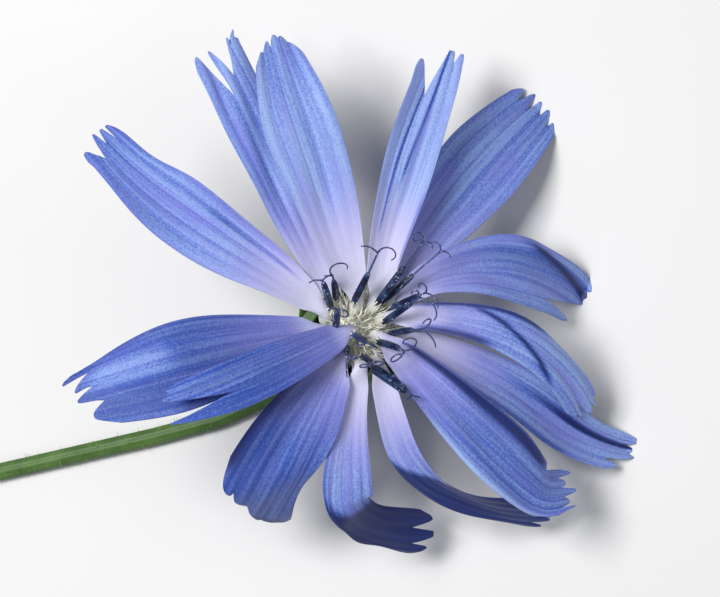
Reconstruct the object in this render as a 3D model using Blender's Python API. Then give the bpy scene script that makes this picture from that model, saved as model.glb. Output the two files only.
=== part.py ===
"""Chicory flower: one open head on its cut stem, lying on a surface.

Lengths are in millimetres and angles in degrees until a mesh is made, which is in metres. The head has a frame of
its own: the origin is the middle of the disc and +Z runs along the head's axis, out through its face. On the surface
the head leans towards +X, the stem lies along -X, and the lowest straps rest on the surface with their teeth.
"""

import math

import bmesh
import bpy
import numpy as np

METRE = 0.001  # one millimetre in Blender's units

# The head on the surface
DISC_PLACE = np.array([8.4, -2.4, 11.7])  # middle of the disc over the surface
HEAD_LEAN = 30.0  # from upright, towards +X
HEAD_LENGTH = 11.0  # from the stem to the disc

# The florets' tubes, in two rings that stand in the green cup
OVARY_FOOT = -8.6
OVARY_TOP = -6.6
OVARY_RADIUS = 0.38
TUBE_RADIUS = 0.35
TUBE_BEND = -2.2  # height at which a tube starts to lean out to its throat
RING_FOOT = {"outer": 1.9, "inner": 0.85}
RING_THROAT = {"outer": 2.7, "inner": 1.25}
THROAT_HEIGHT = {"outer": 0.0, "inner": 0.7}
THROAT_PITCH = 78.0
RING_START = {"outer": 40.0, "inner": 46.0}
RING_STEP = {"outer": 40.0, "inner": 72.0}

# The straps
BLADE = 0.6  # thickness
ELBOW = 1.5  # length over which a strap leaves the tube's direction
ROOT_WIDTH = 1.1
ROOT_CUP = 200.0  # the strap starts rolled up, as part of its tube
ROOT_UNROLL = 2.5
SKIN_START = 0.5  # a round tube turns into a flat blade between these two lengths
SKIN_END = 2.6
TOOTH_EDGES = np.array([-1, -0.8, -0.6, -0.4, -0.2, 0, 0.2, 0.4, 0.6, 0.8, 1])
STRAP_ROWS = (0.0, 0.05, 0.11, 0.2, 0.3, 0.4, 0.48, 0.56, 0.64, 0.72, 0.81, 0.91, 1.0)
FINE_ROWS = 121
FINE_COLUMNS = 61

# The anther tube, the style and its two curled arms
ANTHER_LIFT = 1.0  # from the throat to the foot of the anther tube
ANTHER_SETBACK = 0.12
ANTHER_RADIUS = 0.32
STYLE_RADIUS = 0.2
ARM_RADIUS = 0.15
ARM_CURL = 0.42

# The green cup: receptacle, inner bracts, outer bracts
CUP_FLOOR = -8.9
CUP_BORE = 2.65
CUP_RIM = -2.6
BRACT_TIP = 1.0
CUP_WALL = 0.68
CUP_FOOT_RADIUS = 1.15
INNER_BRACTS = 8
BRACT_RIDGE = 0.24
CUP_COLUMNS = 32
OUTER_BRACTS = 5
OUTER_BRACT_LENGTH = 5.2
OUTER_BRACT_WIDTH = 2.0

# The stem, from the head to its cut end
STEM_TOP_RADIUS = 1.0
STEM_RADIUS = 0.68
STEM_SIDES = 12
STEM_ROOT = 0.8  # how far it reaches up into the cup
STEM_NECK = 0.3  # straight length under the cup
STEM_COURSE = ((-9.6, -0.3), (-14.6, -0.1), (-19.5, 0.9), (-24.5, 2.1), (-29.5, 3.3), (-34.4, 4.5))

COLOURS = {
    "corolla": ((0.30, 0.37, 0.80), 0.55),
    "anther": ((0.04, 0.07, 0.22), 0.40),
    "green": ((0.14, 0.26, 0.06), 0.60),
}


def strap(ring, seat, length, width, heading, pitch, **more):
    """One floret. Its ring and seat place the throat on the disc; heading and pitch are the directions that the
    strap takes at four knots along its length, seen in the head's frame. Roll, cup and pleat are angles at the same
    knots: a turn about the strap's own line, the bend across its width, and a step that runs along it."""
    shape = {
        "roll": (0, 0, 0, 0),
        "cup": (60, 25, 15, 5),
        "pleat": (0, 0, 0, 0),
        "pleat_at": 0.4,
        "knots": (0, 1 / 3, 2 / 3, 1),
        "teeth": (1.3, 1.3, 1.3, 1.3),
        "round_end": 0.05,
        "slant": 0.0,
        "taper": 0.12,
        "splay": 0.0,
    }
    shape.update(ring=ring, seat=seat, length=length, width=width, heading=heading, pitch=pitch)
    shape.update(more)
    return shape


FLORETS = [
    strap("outer", 27, 21.4, 6.2, (35, 28, 23, 18), (2, -4, -10, -14), cup=(60, 30, 30, 30), taper=0.33),
    strap("outer", 120, 21.6, 4.4, (95, 89, 87, 88), (8, 0, -8, -12), cup=(70, 40, 10, -20),
          teeth=(0.8, 1.8, 2.6, 3.4), round_end=0.03, slant=-0.03, splay=0.25),
    strap("outer", 146, 21.8, 5.3, (130, 127, 115, 106), (12, 2, -6, -10), cup=(70, 30, 25, 20),
          teeth=(1.4, 1.1, 1.0, 1.9), round_end=0.04, taper=0.42),
    strap("outer", 170, 19.8, 6.1, (171, 171, 171, 171), (4, 0, -8, -18), round_end=0.12, slant=0.06, taper=0.25),
    strap("outer", 212, 20.5, 6.0, (211, 220, 222, 220), (-1, -26, -68, -150), cup=(60, 20, 0, -20), taper=0.2),
    strap("outer", 240, 20.5, 4.6, (238, 242, 312, 370), (-12, -38, -44, -10), roll=(0, 0, 50, 55),
          cup=(60, 20, 0, 0), knots=(0, 0.45, 0.62, 1)),
    strap("outer", 262, 21.4, 2.9, (260, 268, 320, 335), (0, -26, -24, -4), roll=(0, 35, 60, 65),
          cup=(80, 70, 50, 20), knots=(0, 0.4, 0.6, 1)),
    strap("outer", 315, 22.0, 4.0, (305, 309, 320, 334), (0, -16, -26, -28), cup=(60, 20, 10, 10),
          pleat=(0, 10, 50, 60), pleat_at=0.3, teeth=(1.8, 1.8, 1.8, 1.8), taper=0.25),
    strap("outer", 360, 18.8, 4.6, (411, 367, 326, 312), (37, 8, -23, -48), cup=(60, 20, 10, -10),
          pleat=(0, 0, 40, 60), pleat_at=0.45, teeth=(3.4, 1, 1, 1), knots=(0, 0.2, 0.6, 1)),
    strap("inner", 38, 20.5, 4.3, (56, 50, 47, 50), (18, 6, -1, -4), cup=(90, 100, 100, 60),
          teeth=(1.2, 0.5, 4, 0.5), round_end=0.02, slant=-0.035),
    strap("inner", 95, 21.0, 5.5, (90, 85, 81, 80), (22, 8, -6, -14), cup=(70, 35, 25, 25),
          teeth=(0.9, 0.9, 0.9, 0.9), taper=0.42),
    strap("inner", 190, 16.0, 3.5, (186, 184, 180, 175), (18, 8, 2, -4), cup=(60, 30, 10, 0),
          teeth=(0.8, 0.8, 4, 0.8)),
    strap("inner", 280, 22.2, 4.9, (290, 295, 306, 318), (22, 0, -22, -62), cup=(60, 20, 0, 0),
          round_end=0.03, slant=0.07),
    strap("inner", 344, 19.4, 4.4, (331, 325, 310, 292), (24, 8, -22, -42), cup=(60, 10, -60, -100)),
]

# Each floret's anther tube and style, in the florets' order: heading and pitch at the foot, then the change of
# pitch up to the fork, the anther tube's length, the style's length and the turn of the two arms about the style
ANTHERS = [
    ((18, 58), -24, 3.6, 2.0, 20),
    ((105, 66), -20, 3.2, 1.2, 80),
    ((125, 66), -12, 3.4, 1.0, 40),
    ((112, 76), -8, 3.2, 0.5, 0),
    ((240, 78), -10, 2.4, 0.9, 60),
    ((243, 68), -10, 2.6, 0.6, 30),
    ((270, 46), -14, 3.4, 0.9, 90),
    ((299, 68), -8, 3.2, 1.0, 10),
    ((4, 64), -14, 3.4, 0.8, 70),
    ((33, 66), -20, 3.6, 1.0, 50),
    ((50, 66), -24, 3.2, 1.6, 20),
    ((260, 74), -4, 2.4, 0.4, 60),
    ((284, 66), -10, 3.2, 0.8, 0),
    ((359, 60), -14, 3.2, 1.2, 40),
]


def unit(vectors):
    """The same vectors at length one."""
    return vectors / np.linalg.norm(vectors, axis=-1, keepdims=True)


def eased(x, values, knots):
    """Values between knots, with the corners at the knots rounded off."""
    line = np.linspace(-0.25, 1.25, 301)
    window = np.hanning(27)[1:-1]
    padded = np.pad(np.interp(line, knots, values), len(window) // 2, mode="edge")
    return np.interp(x, line, np.convolve(padded, window / window.sum(), mode="valid"))


def rise(x):
    """Soft step from 0 to 1."""
    x = np.clip(x, 0, 1)
    return x * x * (3 - 2 * x)


def heading_vector(heading, pitch):
    """Direction with this compass heading and this pitch over the disc, in degrees."""
    h, p = np.radians(heading), np.radians(pitch)
    return np.stack([np.cos(p) * np.cos(h), np.cos(p) * np.sin(h), np.sin(p)], axis=-1)


def side_vector(heading):
    """Level direction to the left of a heading."""
    h = np.radians(heading)
    return np.stack([-np.sin(h), np.cos(h), 0 * h], axis=-1)


def polar(radius, angle, height):
    """Point on the disc or over it."""
    a = math.radians(angle)
    return np.array([radius * math.cos(a), radius * math.sin(a), height])


def on_surface(points):
    """Points of the head's frame, placed on the surface."""
    lean = math.radians(HEAD_LEAN)
    x = points[..., 0] * math.cos(lean) + points[..., 2] * math.sin(lean)
    z = points[..., 2] * math.cos(lean) - points[..., 0] * math.sin(lean)
    return np.stack([x, points[..., 1], z], axis=-1) + DISC_PLACE


def throat(shape):
    """Where a floret's tube ends and its strap starts."""
    return polar(RING_THROAT[shape["ring"]], shape["seat"], THROAT_HEIGHT[shape["ring"]])


def strap_line(shape):
    """Middle line of a strap with its two cross directions, at many places along it."""
    x = np.linspace(0, 1, FINE_ROWS)
    along = x * shape["length"]
    heading = eased(x, shape["heading"], shape["knots"])
    pitch = eased(x, shape["pitch"], shape["knots"])
    pitch = pitch + (THROAT_PITCH - pitch) * (1 - rise(along / ELBOW))
    forward = heading_vector(heading, pitch)
    side = side_vector(heading)
    up = np.cross(forward, side)
    roll = np.radians(eased(x, shape["roll"], shape["knots"]))[:, None]
    side, up = side * np.cos(roll) + up * np.sin(roll), up * np.cos(roll) - side * np.sin(roll)
    steps = (forward[1:] + forward[:-1]) / 2 * shape["length"] / (FINE_ROWS - 1)
    line = throat(shape) + np.vstack([np.zeros(3), np.cumsum(steps, axis=0)])
    return x, along, line, side, up


def strap_width(shape, x):
    """Width along a strap: narrow at the tube, widest past the middle."""
    grown = np.sin(np.minimum(x / 0.62, 1) * math.pi / 2) ** 1.15
    narrowed = 1 - shape["taper"] * np.clip((x - 0.62) / 0.38, 0, 1) ** 1.5
    return (ROOT_WIDTH + (shape["width"] - ROOT_WIDTH) * grown) * narrowed


def strap_sheet(shape):
    """The strap's middle surface as a fine grid, rows along it and columns across."""
    x, along, line, side, up = strap_line(shape)
    u = np.linspace(-1, 1, FINE_COLUMNS)
    cup = eased(x, shape["cup"], shape["knots"])
    cup = np.radians(cup + (ROOT_CUP - cup) * np.clip(1 - along / ROOT_UNROLL, 0, 1) ** 1.5)
    pleat = np.radians(eased(x, shape["pleat"], shape["knots"]))
    band = rise(1.3 - np.abs(u - shape["pleat_at"]) / 0.2)
    slope = cup[:, None] / 2 * u + pleat[:, None] * band
    half = strap_width(shape, x)[:, None] / 2
    out = running_sum(np.cos(slope), u) * half
    lift = running_sum(np.sin(slope), u) * half
    return line[:, None] + side[:, None] * out[..., None] + up[:, None] * lift[..., None]


def running_sum(slopes, u):
    """Distance from the middle column, added up from the slopes across a strap."""
    steps = (slopes[:, 1:] + slopes[:, :-1]) / 2 * (u[1] - u[0])
    total = np.hstack([np.zeros((len(slopes), 1)), np.cumsum(steps, axis=1)])
    return total - total[:, [FINE_COLUMNS // 2]]


def strap_reach(shape, u):
    """How far along the strap its toothed end lies in each column, as a share of its length."""
    a, b, c, d = shape["teeth"]
    notch = np.interp(u, TOOTH_EDGES, [0.55 * a, 0, a, 0, b, 0, c, 0, d, 0, 0.55 * d])
    return 1 - shape["round_end"] * u**2 + shape["slant"] * u - notch / shape["length"]


def read_sheet(sheet, x, u):
    """Points of the fine grid at any place, by straight interpolation."""
    row, column = x * (FINE_ROWS - 1), (u + 1) / 2 * (FINE_COLUMNS - 1)
    i = np.clip(np.floor(row).astype(int), 0, FINE_ROWS - 2)
    j = np.clip(np.floor(column).astype(int), 0, FINE_COLUMNS - 2)
    a, b = (row - i)[..., None], (column - j)[..., None]
    near = sheet[i, j] * (1 - b) + sheet[i, j + 1] * b
    far = sheet[i + 1, j] * (1 - b) + sheet[i + 1, j + 1] * b
    return near * (1 - a) + far * a


def blade_faces(shape):
    """Upper and lower points of a strap's blade, with the round start that grows out of the tube."""
    rows = np.array(STRAP_ROWS)[:, None]
    u = TOOTH_EDGES[None, :]
    x = np.clip(rows - (1 - strap_reach(shape, u)) * rows**6, 0, 1)
    across = u * (1 + shape["splay"] * rows**8)
    sheet = strap_sheet(shape)
    middle = read_sheet(sheet, x, across + 0 * x)
    step = 0.004
    ahead = read_sheet(sheet, x + step, across) - read_sheet(sheet, x - step, across)
    leftward = read_sheet(sheet, x, across + step) - read_sheet(sheet, x, across - step)
    normal = unit(np.cross(ahead, leftward))
    upper, lower = middle + normal * BLADE / 2, middle - normal * BLADE / 2
    fine_x, _, line, side, up = strap_line(shape)
    flat = rise((rows * shape["length"] - SKIN_START) / (SKIN_END - SKIN_START))[..., None]
    for r, place in enumerate(STRAP_ROWS):
        spot = [np.array([np.interp(place, fine_x, part[:, k]) for k in range(3)]) for part in (line, side, up)]
        top, bottom = round_section(*spot, TUBE_RADIUS)
        upper[r] = top + (upper[r] - top) * flat[r]
        lower[r] = bottom + (lower[r] - bottom) * flat[r]
    return upper, lower


def round_section(centre, side, up, radius):
    """A round tube's section as an upper and a lower row of points."""
    angle = np.radians(90 - TOOTH_EDGES * 82)[:, None]
    over = side * np.cos(angle) * radius
    lift = up * np.sin(angle) * radius
    return centre + over + lift, centre + over - lift


def tube_rows(shape, rank):
    """Sections of a floret's ovary and tube, from its foot to just under the throat."""
    ring = shape["ring"]
    foot_angle = RING_START[ring] + RING_STEP[ring] * rank
    turn = (shape["seat"] - foot_angle + 180) % 360 - 180
    side = side_vector(np.array(float(shape["heading"][0])))
    sections = []
    stations = ((OVARY_FOOT, OVARY_RADIUS), (OVARY_TOP, OVARY_RADIUS), (TUBE_BEND, TUBE_RADIUS),
                (TUBE_BEND / 2, TUBE_RADIUS))
    for height, radius in stations:
        share = rise((height - OVARY_TOP) / (TUBE_BEND - OVARY_TOP))
        spread = rise((height - TUBE_BEND) / (THROAT_HEIGHT[ring] - TUBE_BEND))
        out = RING_FOOT[ring] + (RING_THROAT[ring] - RING_FOOT[ring]) * spread
        centre = polar(out, foot_angle + turn * share, height)
        up = np.cross(np.array([0.0, 0.0, 1.0]), side)
        sections.append(round_section(centre, side, up, radius))
    return sections


def corolla(shape, rank):
    """Points and triangles of one corolla, from the ovary's foot to the strap's teeth."""
    upper, lower = blade_faces(shape)
    sections = tube_rows(shape, rank)
    upper = np.concatenate([np.stack([s[0] for s in sections]), upper])
    lower = np.concatenate([np.stack([s[1] for s in sections]), lower])
    upper, lower = on_surface(upper), on_surface(lower)
    sunk = np.minimum(np.minimum(upper[..., 2], lower[..., 2]), 0)
    upper[..., 2] -= sunk
    lower[..., 2] -= sunk
    rows, columns = upper.shape[:2]
    points = np.concatenate([upper.reshape(-1, 3), lower.reshape(-1, 3)])

    def top(i, j):
        return i * columns + j

    def under(i, j):
        return rows * columns + i * columns + j

    triangles = []
    for i in range(rows - 1):
        for j in range(columns - 1):
            a, b, c, d = top(i, j), top(i + 1, j), top(i + 1, j + 1), top(i, j + 1)
            triangles += [(a, b, c), (a, c, d)]
            a, b, c, d = under(i, j), under(i + 1, j), under(i + 1, j + 1), under(i, j + 1)
            triangles += [(c, b, a), (d, c, a)]
        right, left = 0, columns - 1
        triangles += quad(top(i, right), under(i, right), under(i + 1, right), top(i + 1, right))
        triangles += quad(top(i, left), top(i + 1, left), under(i + 1, left), under(i, left))
    for j in range(columns - 1):
        end = rows - 1
        triangles += quad(top(0, j), top(0, j + 1), under(0, j + 1), under(0, j))
        triangles += quad(top(end, j), under(end, j), under(end, j + 1), top(end, j + 1))
    return points, triangles


def quad(a, b, c, d):
    """Two triangles."""
    return [(a, b, c), (a, c, d)]


def tube(points, radii, sides, level=False):
    """Points and triangles of a closed round tube along a line of points; a level one keeps a flat side down."""
    points = np.asarray(points, float)
    tangents = unit(np.gradient(points, axis=0))
    side = unit(np.cross(tangents[0], [0.31, 0.17, 0.93]))
    rings = []
    for point, tangent, radius in zip(points, tangents, radii):
        if level:
            side = np.cross([0.0, 0.0, 1.0], tangent)
        side = unit(side - tangent * (side @ tangent))
        over = np.cross(tangent, side)
        for k in range(sides):
            angle = 2 * math.pi * (k + 0.5) / sides
            rings.append(point + radius * (side * math.cos(angle) + over * math.sin(angle)))
    triangles = []
    for i in range(len(points) - 1):
        for k in range(sides):
            near, after = i * sides, (k + 1) % sides
            triangles += quad(near + k, near + after, near + sides + after, near + sides + k)
    last = (len(points) - 1) * sides
    for k in range(1, sides - 1):
        triangles += [(0, k + 1, k), (last, last + k, last + k + 1)]
    return np.array(rings), triangles


def anther_line(shape, lean, bend, anther_length, style_length):
    """Middle line from the anther tube's foot to the style's fork, with the radius along it."""
    heading, pitch = lean
    length = anther_length + style_length
    x = np.array([0, 0.25, 0.5, 0.75, 1.0]) * anther_length
    x = np.append(x, anther_length + np.array([0.12, style_length]))
    fine = np.linspace(0, length, 80)
    forward = heading_vector(heading + 0 * fine, pitch + bend * fine / length)
    run = np.cumsum(forward, axis=0) * length / len(fine)
    outward = heading_vector(shape["heading"][0], 0.0)
    foot = throat(shape) + np.array([0, 0, ANTHER_LIFT]) - outward * ANTHER_SETBACK
    points = foot + np.stack([np.interp(x, fine, run[:, k]) for k in range(3)], axis=-1)
    radii = ANTHER_RADIUS * np.array([0.8, 0.95, 1.0, 1.0, 0.85, 0, 0])
    radii[-2:] = STYLE_RADIUS
    return points, radii


def stigma_arm(fork, forward, outward, radius):
    """One arm: it leaves the fork sideways and curls back on itself."""
    angles = np.radians(np.linspace(-20, 230, 7))
    centre = fork + forward * 0.1 + outward * radius
    return [centre + radius * (-outward * math.cos(a) + forward * math.sin(a)) for a in angles]


def new_object(name, points, triangles, material):
    """Object with this mesh, in metres and shaded smooth."""
    mesh = bpy.data.meshes.new(name)
    mesh.from_pydata([tuple(p) for p in np.asarray(points) * METRE], [], [tuple(t) for t in triangles])
    mesh.materials.append(material)
    mesh.shade_smooth()
    obj = bpy.data.objects.new(name, mesh)
    bpy.context.collection.objects.link(obj)
    return obj


def new_material(name, key):
    """Plain material with this object's colour and roughness."""
    colour, roughness = COLOURS[key]
    material = bpy.data.materials.new(name)
    material.use_nodes = True
    shader = material.node_tree.nodes["Principled BSDF"]
    shader.inputs["Base Color"].default_value = (*colour, 1)
    shader.inputs["Roughness"].default_value = roughness
    return material


def join_solids(body, others):
    """One body out of several solids, by one union on their collection."""
    group = bpy.data.collections.new("joined")
    bpy.context.scene.collection.children.link(group)
    for other in others:
        bpy.context.collection.objects.unlink(other)
        group.objects.link(other)
    union = body.modifiers.new("union", "BOOLEAN")
    union.operation = "UNION"
    union.operand_type = "COLLECTION"
    union.collection = group
    union.solver = "EXACT"
    bpy.context.view_layer.objects.active = body
    body.select_set(True)
    bpy.ops.object.modifier_apply(modifier=union.name)
    for other in others:
        bpy.data.objects.remove(other)
    bpy.data.collections.remove(group)
    mesh = bmesh.new()
    mesh.from_mesh(body.data)
    bmesh.ops.triangulate(mesh, faces=mesh.faces)
    mesh.to_mesh(body.data)
    mesh.free()


def build_corollas():
    """One corolla for each floret."""
    ranks = {"outer": 0, "inner": 0}
    for number, shape in enumerate(FLORETS, start=1):
        name = f"corolla_{number:02d}"
        points, triangles = corolla(shape, ranks[shape["ring"]])
        ranks[shape["ring"]] += 1
        new_object(name, points, triangles, new_material(name, "corolla"))


def build_anthers():
    """The anther tube and forked style of each floret."""
    for number, (shape, row) in enumerate(zip(FLORETS, ANTHERS), start=1):
        lean, bend, anther_length, style_length, turn = row
        name = f"anthers_{number:02d}"
        material = new_material(name, "anther")
        line, radii = anther_line(shape, lean, bend, anther_length, style_length)
        body = new_object(name, *placed_tube(line, radii, 6), material)
        forward = unit(line[-1] - line[-2])
        level = side_vector(np.array(float(lean[0])))
        across = level * math.cos(math.radians(turn)) + np.cross(forward, level) * math.sin(math.radians(turn))
        arms = []
        for sign in (-1, 1):
            arm = stigma_arm(line[-1] - forward * 0.1, forward, across * sign, ARM_CURL)
            thickness = np.linspace(1.0, 0.75, len(arm)) * ARM_RADIUS
            arms.append(new_object(name + "_arm", *placed_tube(arm, thickness, 5), material))
        join_solids(body, arms)


def placed_tube(line, radii, sides):
    """A tube of the head's frame, placed on the surface."""
    points, triangles = tube(line, radii, sides)
    return on_surface(points), triangles


def cup_profile(angle):
    """Outer and inner outline of the green cup at one angle, as radius and height pairs from foot to rim."""
    wave = abs(math.cos(math.radians(angle) * INNER_BRACTS / 2))
    ridge = BRACT_RIDGE * wave
    rim = CUP_RIM + BRACT_TIP * (wave - 0.4)
    outside = [
        (CUP_FOOT_RADIUS, -HEAD_LENGTH + 0.05),
        (2.35 + ridge / 2, -HEAD_LENGTH + 1.1),
        (CUP_BORE + CUP_WALL + ridge, -HEAD_LENGTH + 2.8),
        (CUP_BORE + CUP_WALL + ridge, (CUP_FLOOR + CUP_RIM) / 2),
        (CUP_BORE + CUP_WALL + ridge * 0.8, CUP_RIM - 1.2),
        (CUP_BORE + CUP_WALL + 0.05, rim),
    ]
    inside = [(CUP_BORE, rim), (CUP_BORE, CUP_RIM - 1.4), (CUP_BORE, CUP_FLOOR + 0.1), (1.3, CUP_FLOOR)]
    return outside + inside


def build_green():
    """The stem, the cup that it widens into and the five outer bracts, which grew as one piece."""
    material = new_material("stem_and_involucre", "green")
    cup = new_object("stem_and_involucre", *cup_mesh(), material)
    others = [new_object("stem", *stem_mesh(), material)]
    for k in range(OUTER_BRACTS):
        blade, faces = outer_bract(360 * (k + 0.35) / OUTER_BRACTS)
        others.append(new_object("bract", on_surface(blade), faces, material))
    join_solids(cup, others)


def cup_mesh():
    """Points and triangles of the green cup."""
    points = []
    for k in range(CUP_COLUMNS):
        angle = 360 * k / CUP_COLUMNS
        points += [polar(radius, angle, height) for radius, height in cup_profile(angle)]
    rows = len(cup_profile(0))
    foot, floor = len(points), len(points) + 1
    points += [polar(0, 0, -HEAD_LENGTH), polar(0, 0, CUP_FLOOR)]
    triangles = []
    for k in range(CUP_COLUMNS):
        here, after = k * rows, (k + 1) % CUP_COLUMNS * rows
        for r in range(rows - 1):
            triangles += quad(here + r, after + r, after + r + 1, here + r + 1)
        triangles += [(foot, after, here), (floor, here + rows - 1, after + rows - 1)]
    return on_surface(np.array(points)), triangles


def outer_bract(angle):
    """One outer bract: a pointed blade that starts inside the cup's wall and bends away from it."""
    places = np.array([0.0, 0.2, 0.4, 0.6, 0.8, 1.0])
    widths = OUTER_BRACT_WIDTH * np.array([0.7, 0.95, 1.0, 0.85, 0.6, 0.2]) / 2
    outward = heading_vector(np.array(float(angle)), np.array(0.0))
    side = side_vector(np.array(float(angle)))
    pitch = np.radians(35 + 45 * places - 30 * places**2)
    runs = np.cumsum(np.cos(pitch)) * OUTER_BRACT_LENGTH / len(places)
    climbs = np.cumsum(np.sin(pitch)) * OUTER_BRACT_LENGTH / len(places)
    rows = []
    for run, climb, tilt, width in zip(runs, climbs, pitch, widths):
        centre = outward * (1.2 + run) + np.array([0, 0, -HEAD_LENGTH + 0.9 + climb])
        normal = np.array([0, 0, 1.0]) * math.cos(tilt) - outward * math.sin(tilt)
        lift = normal * BLADE / 2
        edge = normal * width * 0.25
        corners = [side * -width + edge + lift, lift, side * width + edge + lift]
        corners += [side * width + edge - lift, -lift, side * -width + edge - lift]
        rows += [centre + corner for corner in corners]
    triangles = []
    for i in range(len(places) - 1):
        near, far = i * 6, i * 6 + 6
        for k in (0, 1):
            triangles += [(near + k, near + k + 1, far + k + 1), (near + k, far + k + 1, far + k)]
            over, under = (5 - k, 4 - k)
            triangles += [(near + over, far + under, near + under), (near + over, far + over, far + under)]
        triangles += quad(near + 2, near + 3, far + 3, far + 2)
        triangles += quad(near + 5, near, far, far + 5)
    last = (len(places) - 1) * 6
    triangles += [(0, 5, 4), (0, 4, 1), (1, 4, 3), (1, 3, 2)]
    triangles += [(last, last + 4, last + 5), (last, last + 1, last + 4)]
    triangles += [(last + 1, last + 3, last + 4), (last + 1, last + 2, last + 3)]
    return np.array(rows), triangles


def stem_mesh():
    """Points and triangles of the stem: it leaves the head along the head's axis, bends down and lies on the
    surface."""
    top = on_surface(np.array([0, 0, -HEAD_LENGTH - STEM_NECK]))
    lean = math.radians(HEAD_LEAN)
    facet = math.cos(math.pi / STEM_SIDES)
    drop = top[2] - STEM_RADIUS * facet
    bend = drop / (1 - math.sin(lean))
    points, radii = [on_surface(np.array([0, 0, -HEAD_LENGTH + STEM_ROOT]))], [STEM_TOP_RADIUS]
    for share in np.linspace(0, 1, 6):
        turned = lean + (math.pi / 2 - lean) * share
        run = bend * (math.cos(lean) - math.cos(turned))
        height = top[2] - bend * (math.sin(turned) - math.sin(lean))
        points.append((top[0] - run, top[1], height))
        radii.append(STEM_TOP_RADIUS + (STEM_RADIUS - STEM_TOP_RADIUS) * rise(share))
    course = np.array(STEM_COURSE) + DISC_PLACE[:2]
    points += [(x, y, STEM_RADIUS * facet) for x, y in course]
    radii += [STEM_RADIUS] * len(course)
    return tube(points, radii, STEM_SIDES, level=True)


def main():
    for obj in list(bpy.data.objects):
        bpy.data.objects.remove(obj)
    build_green()
    build_corollas()
    build_anthers()


main()
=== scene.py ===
# %% [markdown]
# # A chicory flower, lying on a pale surface
#
# Chicory opens a flower head that looks like one flower but is fourteen: each blue "petal" is the strap
# of a floret of its own, with its own dark anther tube and its own style. This notebook dresses the
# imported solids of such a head. Lengths are in millimetres, angles in degrees, and a mesh is scaled to
# Blender's metres when it is made.

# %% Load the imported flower
import math

import bpy
import numpy as np
from mathutils import Matrix, Vector


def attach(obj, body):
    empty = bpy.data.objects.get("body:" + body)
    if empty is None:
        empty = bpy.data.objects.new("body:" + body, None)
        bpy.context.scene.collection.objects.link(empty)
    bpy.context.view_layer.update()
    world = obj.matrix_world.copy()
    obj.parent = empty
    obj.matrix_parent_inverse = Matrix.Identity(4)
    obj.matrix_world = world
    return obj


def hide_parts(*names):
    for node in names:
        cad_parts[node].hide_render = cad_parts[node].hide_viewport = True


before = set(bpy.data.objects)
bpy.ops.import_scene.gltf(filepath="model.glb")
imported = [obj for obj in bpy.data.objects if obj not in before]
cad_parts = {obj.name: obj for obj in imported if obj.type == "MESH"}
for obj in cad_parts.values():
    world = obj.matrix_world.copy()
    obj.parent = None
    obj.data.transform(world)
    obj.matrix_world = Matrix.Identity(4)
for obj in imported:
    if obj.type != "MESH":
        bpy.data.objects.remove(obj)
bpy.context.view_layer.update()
MM = 0.001

# %% [markdown]
# ## The head's own frame
#
# A floret is easiest to describe from the head it grows in: origin in the middle of the disc, +Z out
# through its face. One function then leans the head over and sets it down, so every later cell can
# forget about the surface.

# %% Place the head on the surface
DISC_PLACE = np.array([8.4, -2.4, 11.7])
HEAD_LEAN = 30.0
HEAD_LENGTH = 11.0


def on_surface(points):
    """Points of the head's frame, placed on the surface."""
    lean = math.radians(HEAD_LEAN)
    x = points[..., 0] * math.cos(lean) + points[..., 2] * math.sin(lean)
    z = points[..., 2] * math.cos(lean) - points[..., 0] * math.sin(lean)
    return np.stack([x, points[..., 1], z], axis=-1) + DISC_PLACE


def polar(radius, angle, height):
    """Point on the disc or over it."""
    a = math.radians(angle)
    return np.array([radius * math.cos(a), radius * math.sin(a), height])


def heading_vector(heading, pitch):
    """Direction with this compass heading and this pitch over the disc."""
    h, p = np.radians(heading), np.radians(pitch)
    return np.stack([np.cos(p) * np.cos(h), np.cos(p) * np.sin(h), np.sin(p)], axis=-1)


def side_vector(heading):
    """Level direction to the left of a heading."""
    h = np.radians(heading)
    return np.stack([-np.sin(h), np.cos(h), 0 * h], axis=-1)


print("the disc stands", DISC_PLACE[2], "mm over the surface")

# %% [markdown]
# ## Numbers that vary smoothly
#
# A petal never changes direction at a corner. Its direction is given at a few knots, and `eased` runs a
# soft window over the straight lines between them: a wide one for a slow bend, a narrow one for a
# crease. `rise` is the usual soft step, used wherever one thing fades into another.

# %% Smooth helpers
def unit(vectors):
    """The same vectors at length one."""
    return vectors / np.linalg.norm(vectors, axis=-1, keepdims=True)


def rise(x):
    """Soft step from 0 to 1."""
    x = np.clip(x, 0, 1)
    return x * x * (3 - 2 * x)


def eased(x, values, knots, window=25):
    """Values between knots, with the corners at the knots rounded off."""
    line = np.linspace(-0.25, 1.25, 301)
    weights = np.hanning(window + 2)[1:-1]
    padded = np.pad(np.interp(line, knots, values), window // 2, mode="edge")
    return np.interp(x, line, np.convolve(padded, weights / weights.sum(), mode="valid"))
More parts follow.
